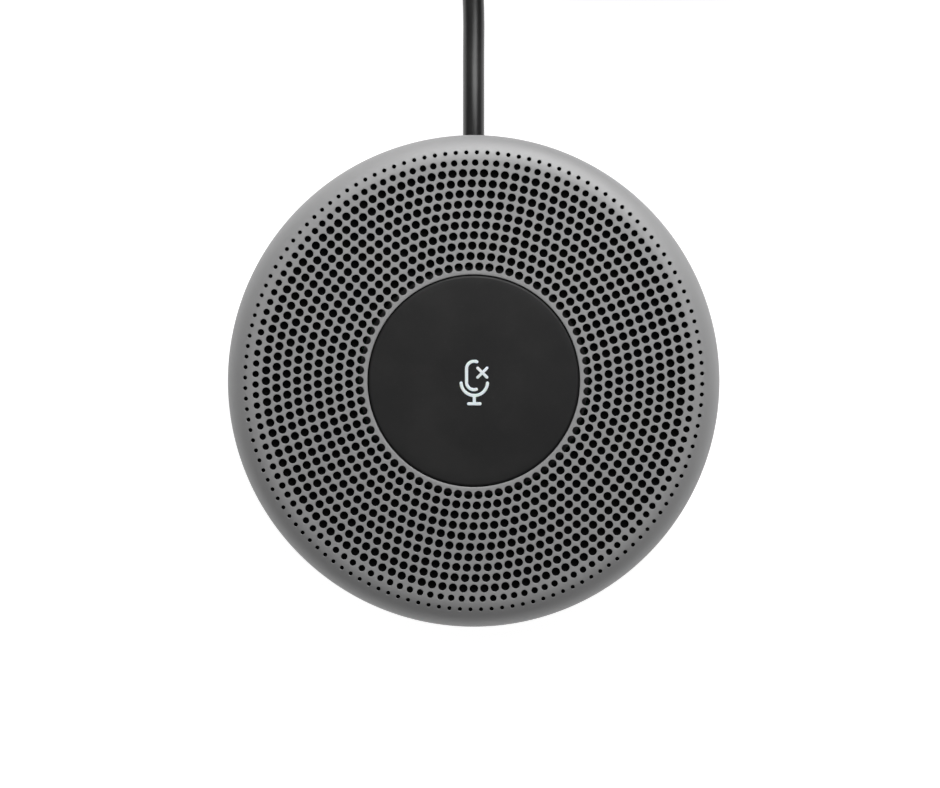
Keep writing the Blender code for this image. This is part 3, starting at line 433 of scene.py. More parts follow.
class Palette:
    """Every finish, its material built when it is first asked for."""

    GRILLE = Finish("satin_grey_paint", "grille_paint", (0.3, 0.3, 0.302), 0.62, metallic=0.5,
                    shade=0.05, gloss_spread=0.08, grain=5200.0, depth=0.000008, strength=0.2,
                    wear=0.3, wear_width=0.00012, worn_colour=(0.5, 0.5, 0.5), dust=0.02)
    CLOTH = Finish("acoustic_cloth_weave", "cloth", (0.0025, 0.0025, 0.0027), 0.95, Pattern.WOVEN,
                   depth=0.00004, strength=0.6, wear=0.0, dust=0.0, sheen=0.0, specular=0.1)
    KEY = Finish("charcoal_key_plastic", "key_plastic", (0.0105, 0.0105, 0.0108), 0.5, shade=0.16,
                 specular=0.25, grain=6500.0, depth=0.000012, strength=0.35, wear=0.35,
                 wear_width=0.00025, worn_colour=(0.05, 0.05, 0.05), dust=0.012)
    MARK = Finish("frosted_mark", "light_guide", (0.86, 0.86, 0.86), 0.45, shade=0.04,
                  subsurface=0.2, wear=0.0, dust=0.0, depth=0.000006)
    LIGHT_GUIDE = Finish("frosted_light_guide", "light_guide", (0.82, 0.83, 0.84), 0.35,
                         transmission=0.6, wear=0.0, shade=0.05)
    HOUSING = Finish("spark_eroded_housing", "housing_plastic", (0.026, 0.026, 0.028), 0.52,
                     shade=0.2, grain=3200.0, depth=0.00003, strength=0.45, wear=0.4,
                     worn_colour=(0.07, 0.07, 0.07), dust=0.03)
    FRAME = Finish("frame_moulding", "frame_plastic", (0.045, 0.045, 0.045), 0.58)
    FOOT = Finish("foot_rubber_matt", "foot_rubber", (0.018, 0.018, 0.018), 0.86, shade=0.35,
                  grain=2200.0, depth=0.00005, strength=0.6, wear=0.3, dust=0.12, specular=0.3)
    SEAL = Finish("seal_rubber_matt", "seal_rubber", (0.02, 0.02, 0.02), 0.8, shade=0.25,
                  grain=2600.0, depth=0.00003, strength=0.4, wear=0.0, specular=0.3)
    SILICONE = Finish("translucent_silicone", "silicone", (0.55, 0.55, 0.52), 0.55,
                      subsurface=0.5, wear=0.0)
    BALLAST = Finish("punched_steel", "ballast_steel", (0.42, 0.42, 0.43), 0.4, Pattern.BRUSHED,
                     metallic=1.0, shade=0.3, gloss_spread=0.25, grain=2400.0, strength=0.3)
    SCREW = Finish("plated_screw_steel", "screw_steel", (0.4, 0.4, 0.41), 0.3, metallic=1.0,
                   shade=0.2, gloss_spread=0.2)
    CAPSULE = Finish("drawn_can_aluminium", "capsule_metal", (0.68, 0.68, 0.66), 0.32,
                     metallic=1.0, shade=0.15)
    BOARD = Finish("solder_resist_laminate", "board_laminate", (0.012, 0.1, 0.04), 0.34,
                   Pattern.LAMINATE, depth=0.00004, strength=0.5, coat=0.2)
    CHIP = Finish("chip_epoxy_matt", "chip_epoxy", (0.016, 0.016, 0.017), 0.5, shade=0.3,
                  grain=7000.0, strength=0.4)
    LED = Finish("clear_led_lens", "led_lens", (0.9, 0.88, 0.75), 0.2, transmission=0.4, wear=0.0)
    NYLON = Finish("natural_nylon", "connector_nylon", (0.78, 0.75, 0.66), 0.5, subsurface=0.15)
    JACKET = Finish("lead_jacket", "cable_jacket", (0.007, 0.007, 0.0072), 0.33, shade=0.2,
                    specular=0.45, grain=1800.0, depth=0.00002, wear=0.0, dust=0.02, coat=0.15,
                    coat_roughness=0.3)
    STRAP = Finish("hook_and_loop_weave", "tie_fabric", (0.012, 0.012, 0.013), 0.9,
                   Pattern.WOVEN, pitch=0.0007, turn=-45.0, depth=0.00015, strength=0.8,
                   wear=0.0, dust=0.06, sheen=0.3)
    MOULDING = Finish("plug_soft_moulding", "plug_moulding", (0.018, 0.018, 0.018), 0.55,
                      shade=0.2, grain=3000.0, depth=0.00002, strength=0.4,
                      worn_colour=(0.06, 0.06, 0.06))
    TIN = Finish("plug_nickel_plate", "plug_metal", (0.7, 0.69, 0.67), 0.24, Pattern.BRUSHED,
                 metallic=1.0, shade=0.1, gloss_spread=0.2, grain=5000.0, strength=0.15)
    TONGUE = Finish("plug_white_insulator", "plug_insulator", (0.8, 0.8, 0.78), 0.5)
    GOLD = Finish("contact_gold", "plug_metal", (0.85, 0.6, 0.22), 0.25, metallic=1.0, dust=0.0)
    RED = Finish("core_red_insulation", "core_red", (0.45, 0.015, 0.015), 0.35, wear=0.0)
    WHITE = Finish("core_white_insulation", "core_white", (0.78, 0.78, 0.78), 0.35, wear=0.0)
    GREEN = Finish("core_green_insulation", "core_green", (0.015, 0.26, 0.04), 0.35, wear=0.0)
    BLACK = Finish("core_black_insulation", "core_black", (0.012, 0.012, 0.012), 0.35, wear=0.0)

    def __init__(self) -> None:
        """Builds the shared groups."""
        self.groups = EffectGroups()
        self._built: dict[Finish, bpy.types.Material] = {}

    def material(self, finish: Finish) -> bpy.types.Material:
        """The material of a finish."""
        if finish not in self._built:
            self._built[finish] = finish.build(self.groups)
        return self._built[finish]

    def dress(self, thing: bpy.types.Object, finish: Finish) -> None:
        """Gives a CAD node the material of a finish."""
        material = self.material(finish)
        for place in thing.material_slots:
            place.material = material


class Shapes:
    """Mesh shapes that several pieces are made from."""

    @staticmethod
    def revolved(outline: Outline, steps: int, closed: bool = True) -> bmesh.types.BMesh:
        """Spins an outline of (radius, height) points about the Z axis.

        Args:
            outline: The points in order.
            steps: Steps in a full turn.
            closed: Whether the last point joins the first.

        Returns:
            The turned shape, merged where it meets the axis.
        """
        bm = bmesh.new()
        corners = [bm.verts.new((radius, 0.0, height)) for radius, height in outline]
        edges = [bm.edges.new(pair) for pair in zip(corners, corners[1:])]
        if closed and max(outline[0][0], outline[-1][0]) > 0.0:
            edges.append(bm.edges.new((corners[-1], corners[0])))
        bmesh.ops.spin(
            bm,
            geom=corners + edges,
            cent=(0.0, 0.0, 0.0),
            axis=(0.0, 0.0, 1.0),
            angle=2 * math.pi,
            steps=steps,
            use_merge=True,
        )
        bmesh.ops.remove_doubles(bm, verts=bm.verts, dist=MERGE)
        bmesh.ops.recalc_face_normals(bm, faces=bm.faces)
        return bm

    @staticmethod
    def softened(corners: Sequence[tuple[float, float, float]], steps: int = 3) -> Outline:
        """Rounds the corners of a closed outline.

        Args:
            corners: (radius, height, rounding) of each corner.
            steps: Steps in each rounding.

        Returns:
            The outline's points.
        """
        points: Outline = []
        looped = [corners[-1], *corners, corners[0]]
        for before, corner, after in zip(looped, looped[1:], looped[2:]):
            here = Vector(corner[:2])
            if not corner[2]:
                points.append(tuple(here))
                continue
            back, on = Vector(before[:2]) - here, Vector(after[:2]) - here
            start = here + back.normalized() * min(corner[2], back.length / 2)
            end = here + on.normalized() * min(corner[2], on.length / 2)
            for step in range(steps + 1):
                share = step / steps
                point = start * (1 - share) ** 2 + here * 2 * share * (1 - share) + end * share**2
                points.append(tuple(point))
        return points

    @staticmethod
    def arc(centre: tuple[float, float], radius: float, start: float, end: float,
            steps: int) -> Outline:
        """Points of an arc about a centre, angles in degrees."""
        points: Outline = []
        for step in range(steps + 1):
            angle = math.radians(start + (end - start) * step / steps)
            across, up = radius * math.cos(angle), radius * math.sin(angle)
            points.append((centre[0] + across, centre[1] + up))
        return points

    @staticmethod
    def block(size: Sequence[float], centre: Sequence[float], rounding: float = 0.0,
              segments: int = 3) -> bmesh.types.BMesh:
        """A box with rounded edges."""
        bm = bmesh.new()
        place = Matrix.Translation(centre) @ Matrix.Diagonal((*size, 1.0))
        bmesh.ops.create_cube(bm, size=1.0, matrix=place)
        if rounding:
            bmesh.ops.bevel(bm, geom=list(bm.edges), offset=rounding, segments=segments,
                            profile=0.5, affect="EDGES", clamp_overlap=True, material=-1)
        return bm

    @staticmethod
    def moved(bm: bmesh.types.BMesh, place: Matrix) -> bmesh.types.BMesh:
        """The same shape, put in another place."""
        bmesh.ops.transform(bm, matrix=place, verts=bm.verts)
        return bm

    @staticmethod
    def along_lead(height: float) -> Matrix:
        """The matrix that lays a shape turned about Z along +Y, at this height."""
        turn = Matrix.Rotation(-math.pi / 2, 4, "X")
        return Matrix.Translation((0.0, 0.0, height)) @ turn

    @staticmethod
    def together(shapes: Iterable[bmesh.types.BMesh]) -> bmesh.types.BMesh:
        """Several shapes in one bmesh; the given ones are freed."""
        whole = bmesh.new()
        for bm in shapes:
            mesh = bpy.data.meshes.new("passing")
            bm.to_mesh(mesh)
            bm.free()
            whole.from_mesh(mesh)
            bpy.data.meshes.remove(mesh)
        return whole

    @staticmethod
    def spots(radius: float, angles: Iterable[float]) -> list[Matrix]:
        """Matrices that set a shape out at a radius, one for each angle in degrees."""
        out = Matrix.Translation((radius, 0.0, 0.0))
        return [Matrix.Rotation(math.radians(angle), 4, "Z") @ out for angle in angles]

    @staticmethod
    def carved(bm: bmesh.types.BMesh, joined: Iterable[bmesh.types.BMesh],
               cut: Iterable[bmesh.types.BMesh]) -> bmesh.types.BMesh:
        """Joins shapes to a base and cuts others from it.

        Args:
            bm: The base shape.
            joined: Closed shapes to add.
            cut: Closed shapes to take away.

        Returns:
            The result; every given shape is freed.
        """
        base = Shapes._loose("carved_base", bm)
        guides = []
        for operation, shapes in (("UNION", joined), ("DIFFERENCE", cut)):
            for shape in shapes:
                guide = Shapes._loose("carving_guide", shape)
                guides.append(guide)
                modifier = base.modifiers.new(operation, "BOOLEAN")
                modifier.operation = operation
                modifier.solver = "EXACT"
                modifier.object = guide
        result = Shapes.evaluated(base)
        for thing in [base, *guides]:
            bpy.data.objects.remove(thing, do_unlink=True)
        return result

    @staticmethod
    def _loose(name: str, bm: bmesh.types.BMesh) -> bpy.types.Object:
        """A passing object that holds a shape, whose faces are turned outwards."""
        bmesh.ops.recalc_face_normals(bm, faces=bm.faces)
        return Shapes.placed(name, bm)

    @staticmethod
    def placed(name: str, bm: bmesh.types.BMesh) -> bpy.types.Object:
        """A linked object that holds a shape, which is freed."""
        mesh = bpy.data.meshes.new(name)
        bm.to_mesh(mesh)
        bm.free()
        return Shapes.linked(bpy.data.objects.new(name, mesh))

    @staticmethod
    def linked(thing: bpy.types.Object) -> bpy.types.Object:
        """The same object, linked to the scene."""
        bpy.context.scene.collection.objects.link(thing)
        return thing

    @staticmethod
    def evaluated(thing: bpy.types.Object) -> bmesh.types.BMesh:
        """The shape of an object after its modifiers or its curve's bevel."""
        graph = bpy.context.evaluated_depsgraph_get()
        mesh = bpy.data.meshes.new_from_object(thing.evaluated_get(graph))
        bm = bmesh.new()
        bm.from_mesh(mesh)
        bpy.data.meshes.remove(mesh)
        return bm

    @staticmethod
    def tube(name: str, line: Sequence[tuple[Vector, float]], radius: float,
             resolution: int) -> bpy.types.Object:
        """A round tube along a line, as a curve with closed ends.

        Args:
            name: The object's name.
            line: Places along the line, each with its share of the radius.
            radius: The tube's radius.
            resolution: The roundness of its section, as a curve counts it.

        Returns:
            The linked curve object.
        """
        curve = bpy.data.curves.new(name, "CURVE")
        curve.dimensions = "3D"
        curve.bevel_depth = radius
        curve.bevel_resolution = resolution
        curve.use_fill_caps = True
        spline = curve.splines.new("POLY")
        spline.use_smooth = True
        spline.points.add(len(line) - 1)
        for target, (point, share) in zip(spline.points, line):
            target.co = (*point, 1.0)
            target.radius = share
        return Shapes.linked(bpy.data.objects.new(name, curve))

    @staticmethod
    def open_box(size: Sequence[float], centre: Sequence[float], opened: Sequence[Vector],
                 rounding: float, segments: int) -> bmesh.types.BMesh:
        """A box's skin without the sides that face the opened ways.

        Args:
            size: The box's size.
            centre: Its middle.
            opened: The ways in which it is open, all along one axis.
            rounding: Radius of the edges that lie along that axis.
            segments: Steps in each rounding.

        Returns:
            A skin without thickness, whose faces point outwards.
        """
        bm = Shapes.block(size, centre)
        ends = [face for face in bm.faces if max(map(face.normal.dot, opened)) > 0.9]
        bmesh.ops.delete(bm, geom=ends, context="FACES_ONLY")
        along = [
            edge for edge in bm.edges
            if abs((edge.verts[0].co - edge.verts[1].co).dot(opened[0])) > MERGE
        ]
        bmesh.ops.bevel(bm, geom=along, offset=rounding, segments=segments, profile=0.5,
                        affect="EDGES", material=-1)
        bmesh.ops.recalc_face_normals(bm, faces=bm.faces)
        first = bm.faces[:][0]
        if first.normal.dot(first.calc_center_median() - Vector(centre)) < 0:
            bmesh.ops.reverse_faces(bm, faces=bm.faces)
        return bm


@dataclass
class Assembly:
    """What every sub-assembly needs: the finishes, and a way to finish a piece."""

    palette: Palette

    def finished(self, name: str, bm: bmesh.types.BMesh, body: Body, finish: Finish,
                 replaces: Sequence[str] = (), sharp: float = 35.0) -> bpy.types.Object:
        """Makes a shape into a piece of the model.

        Args:
            name: The piece's name.
            bm: Its shape, which is freed.
            body: The body that it rides on.
            finish: Its finish.
            replaces: CAD nodes that it stands for.
            sharp: Edges sharper than this, in degrees, stay sharp.

        Returns:
            The new object.
        """
        bmesh.ops.recalc_face_normals(bm, faces=bm.faces)
        thing = Shapes.placed(name, bm)
        thing.data.materials.append(self.palette.material(finish))
        thing.data.shade_smooth()
        thing.data.set_sharp_from_angle(angle=math.radians(sharp))
        return self.declared(thing, body, finish, replaces)

    def declared(self, thing: bpy.types.Object, body: Body, finish: Finish,
                 replaces: Sequence[str] = ()) -> bpy.types.Object:
        """Rides a piece on its body and hides the CAD nodes that it stands for."""
        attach(thing, body.value)
        if replaces:
            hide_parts(*replaces)
        LOG.info("%s rides on %s", thing.name, body.value)
        return thing


@dataclass
class GrilleShell(Assembly):
    """The perforated shell, from the lip round the key out to the skirt."""

    wall: float = 0.9 * MM
    edge_roll: float = 4.6 * MM
    edge_slope: float = math.radians(3.0)
    lip_round: float = 0.5 * MM
    lip_depth: float = 1.9 * MM
    lip_radius: float = 17.87 * MM
    ring_pitch: float = 1.7488 * MM
    rings: tuple[int, int] = (11, 22)
    hole_radius: float = 0.71 * MM
    small_holes: dict[int, float] = field(default_factory=lambda: {21: 0.55 * MM, 22: 0.35 * MM})
    chamfer: float = 0.05 * MM
    lip_edge: float = 0.12 * MM
    skirt_round: float = 0.2 * MM
    round_steps: int = 256
    hole_steps: int = 16
    holes_per_ring: int = 6
    extra_holes: int = 4
    first_turn: float = -14.0
    turn_step: float = 122.3

    def __post_init__(self) -> None:
        """Takes the overall sizes from the frame and works out the dome."""
        low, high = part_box("top_grille")
        self.radius = high.x
        self.skirt = low.z
        self.lip_top = high.z
        self.roll_radius = self.radius - self.edge_roll
        self.roll_end = self.roll_radius + self.edge_roll * math.sin(self.edge_slope)
        self.dome_radius = self.roll_end / math.sin(self.edge_slope)
        start = self.lip_radius + self.lip_round
        self.dome_centre = self.lip_top - math.sqrt(self.dome_radius**2 - start**2)
        rise = (self.dome_radius - self.edge_roll) * math.cos(self.edge_slope)
        self.roll_height = self.dome_centre + rise

    def height(self, radius: float, depth: float) -> float:
        """Height, at a radius, of the surface this deep under the outer skin."""
        if radius <= self.roll_end - depth * math.sin(self.edge_slope):
            return self.dome_centre + math.sqrt((self.dome_radius - depth) ** 2 - radius**2)
        reach = (self.edge_roll - depth) ** 2 - (radius - self.roll_radius) ** 2
        return self.roll_height + math.sqrt(reach)

    def holes_of(self, ring: int) -> tuple[float, list[Vector]]:
        """Radius and centres of one ring's holes."""
        count = self.holes_per_ring * ring + self.extra_holes
        turn = self.first_turn + self.turn_step * (ring - self.rings[0])
        centres = []
        for index in range(count):
            angle = math.radians((turn + 360.0 * index) / count)
            reach = ring * self.ring_pitch
            centres.append(Vector((reach * math.cos(angle), reach * math.sin(angle), 0.0)))
        return self.small_holes.get(ring, self.hole_radius), centres

    def drilled_ring(self, ring: int) -> bmesh.types.BMesh:
        """One flat ring with its holes; each hole's edge keeps its centre and radius."""
        bm = bmesh.new()
        centre_of = bm.verts.layers.float_vector.new("centre")
        radius_of = bm.verts.layers.float.new("hole")
        for side in (-0.5, 0.5):
            bmesh.ops.create_circle(bm, cap_ends=False, radius=(ring + side) * self.ring_pitch,
                                    segments=self.round_steps)
        radius, centres = self.holes_of(ring)
        for centre in centres:
            made = bmesh.ops.create_circle(bm, cap_ends=False, radius=radius + self.chamfer,
                                           segments=self.hole_steps,
                                           matrix=Matrix.Translation(centre))
            for corner in made["verts"]:
                corner[centre_of] = centre
                corner[radius_of] = radius
        bmesh.ops.triangle_fill(bm, use_beauty=True, use_dissolve=False, edges=bm.edges[:],
                                normal=(0.0, 0.0, 1.0))
        return bm

    def drilled_skin(self) -> bmesh.types.BMesh:
        """The drilled part of the shell, both faces and the holes' walls."""
        first, last = self.rings
        bm = Shapes.together(self.drilled_ring(ring) for ring in range(first, last + 1))
        bmesh.ops.remove_doubles(bm, verts=bm.verts, dist=MERGE)
        depth_of = bm.verts.layers.float.new("depth")
        centre_of = bm.verts.layers.float_vector["centre"]
        radius_of = bm.verts.layers.float["hole"]
        top = list(bm.faces)
        copied = bmesh.ops.duplicate(bm, geom=bm.verts[:] + bm.edges[:] + top)["geom"]
        for corner in (item for item in copied if isinstance(item, bmesh.types.BMVert)):
            corner[depth_of] = self.wall
        lower = [item for item in copied if isinstance(item, bmesh.types.BMFace)]
        bmesh.ops.reverse_faces(bm, faces=lower)
        rims = [
            edge
            for face in top
            for edge in face.edges
            if edge.is_boundary and edge.verts[0][radius_of] > 0.0
        ]
        for depth in (self.chamfer, self.wall):
            made = bmesh.ops.extrude_edge_only(bm, edges=rims)["geom"]
            for corner in (item for item in made if isinstance(item, bmesh.types.BMVert)):
                corner[depth_of] = depth
            rims = [
                item
                for item in made
                if isinstance(item, bmesh.types.BMEdge)
                and all(corner[depth_of] == item.verts[0][depth_of] for corner in item.verts)
                and item.is_boundary
            ]
        for corner in bm.verts:
            depth = corner[depth_of]
            if corner[radius_of] > 0.0:
                centre = corner[centre_of]
                outwards = (corner.co - centre).normalized()
                flare = self.chamfer if depth == 0.0 else 0.0
                corner.co = centre + outwards * (corner[radius_of] + flare)
            reach = math.hypot(corner.co.x, corner.co.y)
            corner.co.z = self.height(reach, depth)
        return bm

    def outer_band(self) -> bmesh.types.BMesh:
        """The rolled edge and the skirt, both faces."""
        edge = (self.rings[1] + 0.5) * self.ring_pitch
        inner_roll = self.edge_roll - self.wall
        roll = (self.roll_radius, self.roll_height)
        start = math.degrees(math.acos((edge - self.roll_radius) / self.edge_roll))
        inner_start = math.degrees(math.acos((edge - self.roll_radius) / inner_roll))
        outline = Shapes.arc(roll, self.edge_roll, start, 0.0, 12)
        skirt = [
            (self.radius, self.skirt, self.skirt_round),
            (self.radius - self.wall, self.skirt, self.skirt_round),
            (self.radius - self.wall, self.roll_height, 0.0),
            (self.radius, self.roll_height, 0.0),
        ]
        outline += Shapes.softened(skirt)[:-2]
        outline += Shapes.arc(roll, inner_roll, 0.0, inner_start, 8)
        return Shapes.revolved(outline, self.round_steps, closed=False)

    def inner_band(self) -> bmesh.types.BMesh:
        """The lip round the key, both faces."""
        edge = (self.rings[0] - 0.5) * self.ring_pitch
        flat = self.lip_radius + self.lip_edge
        centre = (flat, self.height(flat, 0.0) - self.lip_edge)
        bottom = self.lip_top - self.lip_depth
        outline = [(edge, self.height(edge, 0.0))]
        outline += Shapes.arc(centre, self.lip_edge, 90.0, 180.0, 4)
        outline += [(self.lip_radius, bottom), (edge, bottom), (edge, self.height(edge, self.wall))]
        return Shapes.revolved(outline, self.round_steps, closed=False)

    def build(self) -> None:
        """Builds the shell."""
        bm = Shapes.together([self.drilled_skin(), self.outer_band(), self.inner_band()])
        bmesh.ops.remove_doubles(bm, verts=bm.verts, dist=2 * MERGE)
        self.finished("grille_shell", bm, Body.POD, Palette.GRILLE, ["top_grille"], sharp=25.0)


@dataclass
class ClothLayer(Assembly):
    """The woven black cloth under the grille."""

    grille: GrilleShell | None = None
    thickness: float = 0.4 * MM
    gap: float = 0.3 * MM
    steps: int = 128
    rings: int = 12

    def build(self) -> None:
        """Builds the cloth, which follows the inside of the grille."""
        inner = self._inner_radius()
        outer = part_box("acoustic_cloth")[1].x
        top = self.grille.wall + self.gap
        radii = [inner + (outer - inner) * step / self.rings for step in range(self.rings + 1)]
        outline = [(radius, self.grille.height(radius, top)) for radius in radii]
        outline += [(radius, height - self.thickness) for radius, height in reversed(outline)]
        bm = Shapes.revolved(outline, self.steps)
        cloth = self.finished("cloth_layer", bm, Body.POD, Palette.CLOTH, ["acoustic_cloth"])

    def _inner_radius(self) -> float:
        """Radius of the cloth's inner edge, from its CAD node."""
        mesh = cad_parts["acoustic_cloth"].data
        return min(math.hypot(corner.co.x, corner.co.y) for corner in mesh.vertices)


@dataclass
class MuteKey(Assembly):
    """The key cap with its snap hooks, and the mark let into it."""

    side_clearance: float = 0.03 * MM
    crown: float = 0.3 * MM
    edge_round: float = 0.4 * MM
    wall: float = 1.6 * MM
    skirt_depth: float = 4.5 * MM
    skirt_wall: float = 1.3 * MM
    pocket: float = 7.3 * MM
    pocket_rim: float = 8.3 * MM
    pocket_depth: float = 1.5 * MM
    hook_angles: tuple[float, ...] = (30.0, 150.0, 270.0)
    hook_width: float = 4.0 * MM
    hook_thickness: float = 1.1 * MM
    barb: float = 1.0 * MM
    barb_height: float = 0.7 * MM
    barb_lift: float = 0.01 * MM
    hook_rounds: tuple[float, float] = (0.12 * MM, 0.15 * MM)
    hook_insets: tuple[float, float] = (0.1 * MM, 0.2 * MM)
    steps: int = 192
    mark_rise: float = 0.03 * MM
    mark_depth: float = 0.12 * MM
    mark_flatness: float = 1.6

    def __post_init__(self) -> None:
        """Takes the key's place from the frame."""
        low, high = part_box("button_cap")
        self.radius = high.x - self.side_clearance
        self.top = high.z
        self.hook_bottom = low.z
        self.edge = self.top - self.crown
        self.skirt_bottom = self.edge - self.skirt_depth

    def top_height(self, reach: float) -> float:
        """Height of the crowned top at a distance from the axis."""
        flat = self.radius - self.edge_round
        return self.edge + self.crown * (1.0 - min(1.0, reach / flat) ** 2)

    def cap(self) -> bmesh.types.BMesh:
        """The cap with its skirt, pocket rim and hooks."""
        under = self.edge - self.wall
        skirt = self.radius - self.skirt_wall
        centre = (self.radius - self.edge_round, self.edge - self.edge_round)
        rim_bottom = under - self.pocket_depth
        outline = [(0.0, under), (self.pocket, under), (self.pocket, rim_bottom)]
        outline += [(self.pocket_rim, rim_bottom), (self.pocket_rim, under), (skirt, under)]
        outline += [(skirt, self.skirt_bottom), (self.radius, self.skirt_bottom)]
        outline += Shapes.arc(centre, self.edge_round, 0.0, 90.0, 6)
        flat = self.radius - self.edge_round
        for step in range(1, 16):
            reach = flat * (1.0 - step / 16)
            outline.append((reach, self.top_height(reach)))
        outline.append((0.0, self.top))
        return Shapes.revolved(outline, self.steps)

    def hooks(self) -> list[bmesh.types.BMesh]:
        """The snap hooks under the skirt."""
        outer = self.radius - self.skirt_wall
        inner = outer - self.hook_thickness
        bite = self.skirt_wall / 2
        top = self.edge - self.wall
        leg_round, barb_round = self.hook_rounds
        heel_width, barb_width = (self.hook_width - inset for inset in self.hook_insets)
        leg_size = (self.hook_thickness, self.hook_width, top - self.hook_bottom)
        leg = Shapes.block(leg_size, (inner + leg_size[0] / 2, 0.0, (top + self.hook_bottom) / 2),
                           leg_round)
        heel_bottom = self.skirt_bottom + bite
        heel_size = (self.hook_thickness + bite, heel_width, top - heel_bottom)
        heel = Shapes.block(heel_size, (inner + heel_size[0] / 2, 0.0, (top + heel_bottom) / 2))
        barb_size = (self.hook_thickness / 2 + self.barb, barb_width, self.barb_height)
        barb_x = outer + self.barb - barb_size[0] / 2
        barb_z = self.hook_bottom + self.barb_height / 2 + self.barb_lift
        barb = Shapes.block(barb_size, (barb_x, 0.0, barb_z), barb_round)
        hook = Shapes.carved(leg, [heel, barb], [])
        template = bpy.data.meshes.new("hook")
        hook.to_mesh(template)
        hook.free()
        shapes = []
        for place in Shapes.spots(0.0, self.hook_angles):
            bm = bmesh.new()
            bm.from_mesh(template)
            shapes.append(Shapes.moved(bm, place))
        bpy.data.meshes.remove(template)
        return shapes

    def mark_lines(self) -> list[tuple[float, list[tuple[float, float]]]]:
        """The mark's strokes, width and points in millimetres: a microphone crossed out."""
        heavy, light = 0.53, 0.48
        body = Shapes.arc((0.05, 2.03), 1.25, 68.0, 180.0, 11)
        body += Shapes.arc((0.05, -0.25), 1.25, 180.0, 288.0, 11)
        cradle = Shapes.arc((0.1, -0.25), 2.22, 183.0, 357.0, 17)
        cross = (1.45, 1.37)
        arm = 0.78
        return [
            (heavy, body),
            (heavy, cradle),
            (heavy, [(0.1, -2.5), (0.1, -3.86)]),
            (heavy, [(-0.85, -3.86), (1.05, -3.86)]),
            (light, [(cross[0] - arm, cross[1] - arm), (cross[0] + arm, cross[1] + arm)]),
            (light, [(cross[0] - arm, cross[1] + arm), (cross[0] + arm, cross[1] - arm)]),
        ]

    @staticmethod
    def _round_ended(line: list[tuple[float, float]], reach: float) -> list[tuple[Vector, float]]:
        """Points of a stroke with the share of its width at each, so that its ends are round."""
        points = [Vector((x, y, 0.0)) for x, y in line]
        shaped = [(point, 1.0) for point in points]
        for end, beside, front in ((points[0], points[1], True), (points[-1], points[-2], False)):
            away = (end - beside).normalized() * reach
            for angle in (22.5, 45.0, 67.5, 84.0):
                turn = math.radians(angle)
                extra = (end + away * math.sin(turn), math.cos(turn))
                shaped.insert(0, extra) if front else shaped.append(extra)
        return shaped

    def stroke_shape(self, width: float, line: list[tuple[float, float]]) -> bmesh.types.BMesh:
        """One stroke of the mark: a bar with round ends along a line.

        Args:
            width: The stroke's width in millimetres.
            line: Its points in millimetres.

        Returns:
            A closed shape, as thick as it is wide.
        """
        shaped = [(point * MM, share) for point, share in self._round_ended(line, width / 2)]
        thing = Shapes.tube("stroke", shaped, width / 2 * MM, 4)
        curve = thing.data
        bar = Shapes.evaluated(thing)
        bpy.data.objects.remove(thing, do_unlink=True)
        bpy.data.curves.remove(curve)
        bmesh.ops.remove_doubles(bar, verts=bar.verts, dist=MERGE)
        bmesh.ops.recalc_face_normals(bar, faces=bar.faces)
        return bar

    def mark(self) -> bmesh.types.BMesh:
        """The whole mark, joined, and laid on the crowned top."""
        strokes = [self.stroke_shape(width, line) for width, line in self.mark_lines()]
        bm = Shapes.carved(strokes[0], strokes[1:], [])
        thickest = max(corner.co.z for corner in bm.verts)
        for corner in bm.verts:
            share = corner.co.z / thickest
            lift = self.mark_rise if share > 0.0 else self.mark_depth
            level = math.copysign(min(1.0, abs(share) * self.mark_flatness), share)
            reach = math.hypot(corner.co.x, corner.co.y)
            corner.co.z = self.top_height(reach) + lift * level
        return bm

    def build(self) -> None:
        """Builds the cap and its mark."""
        cap = Shapes.carved(self.cap(), self.hooks(), [])
        self.finished("key_cap", cap, Body.KEY, Palette.KEY, ["button_cap"])
        self.finished("mute_mark", self.mark(), Body.KEY, Palette.MARK, sharp=60.0)


@dataclass
class ReturnRing(Assembly):
    """The silicone ring under the key, which flattens when the key goes down."""

    width: float = 0.8 * MM
    waist: float = 0.18 * MM
    corner: float = 0.2 * MM
    fold: float = 0.4 * MM
    squeezed: float = 0.78
    steps: int = 128

    def build(self) -> None:
        """Builds the ring."""
        low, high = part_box("return_ring")
        outer, inner = high.x, high.x - self.width
        middle = (low.z + high.z) / 2
        corners = [
            (outer, low.z, self.corner),
            (outer - self.waist, middle, self.fold),
            (outer, high.z, self.corner),
            (inner, high.z, self.corner),
            (inner + self.waist, middle, self.fold),
            (inner, low.z, self.corner),
        ]
        bm = Shapes.revolved(Shapes.softened(corners), self.steps)
        ring = self.finished("key_return_ring", bm, Body.POD, Palette.SILICONE, ["return_ring"])
        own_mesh(ring)


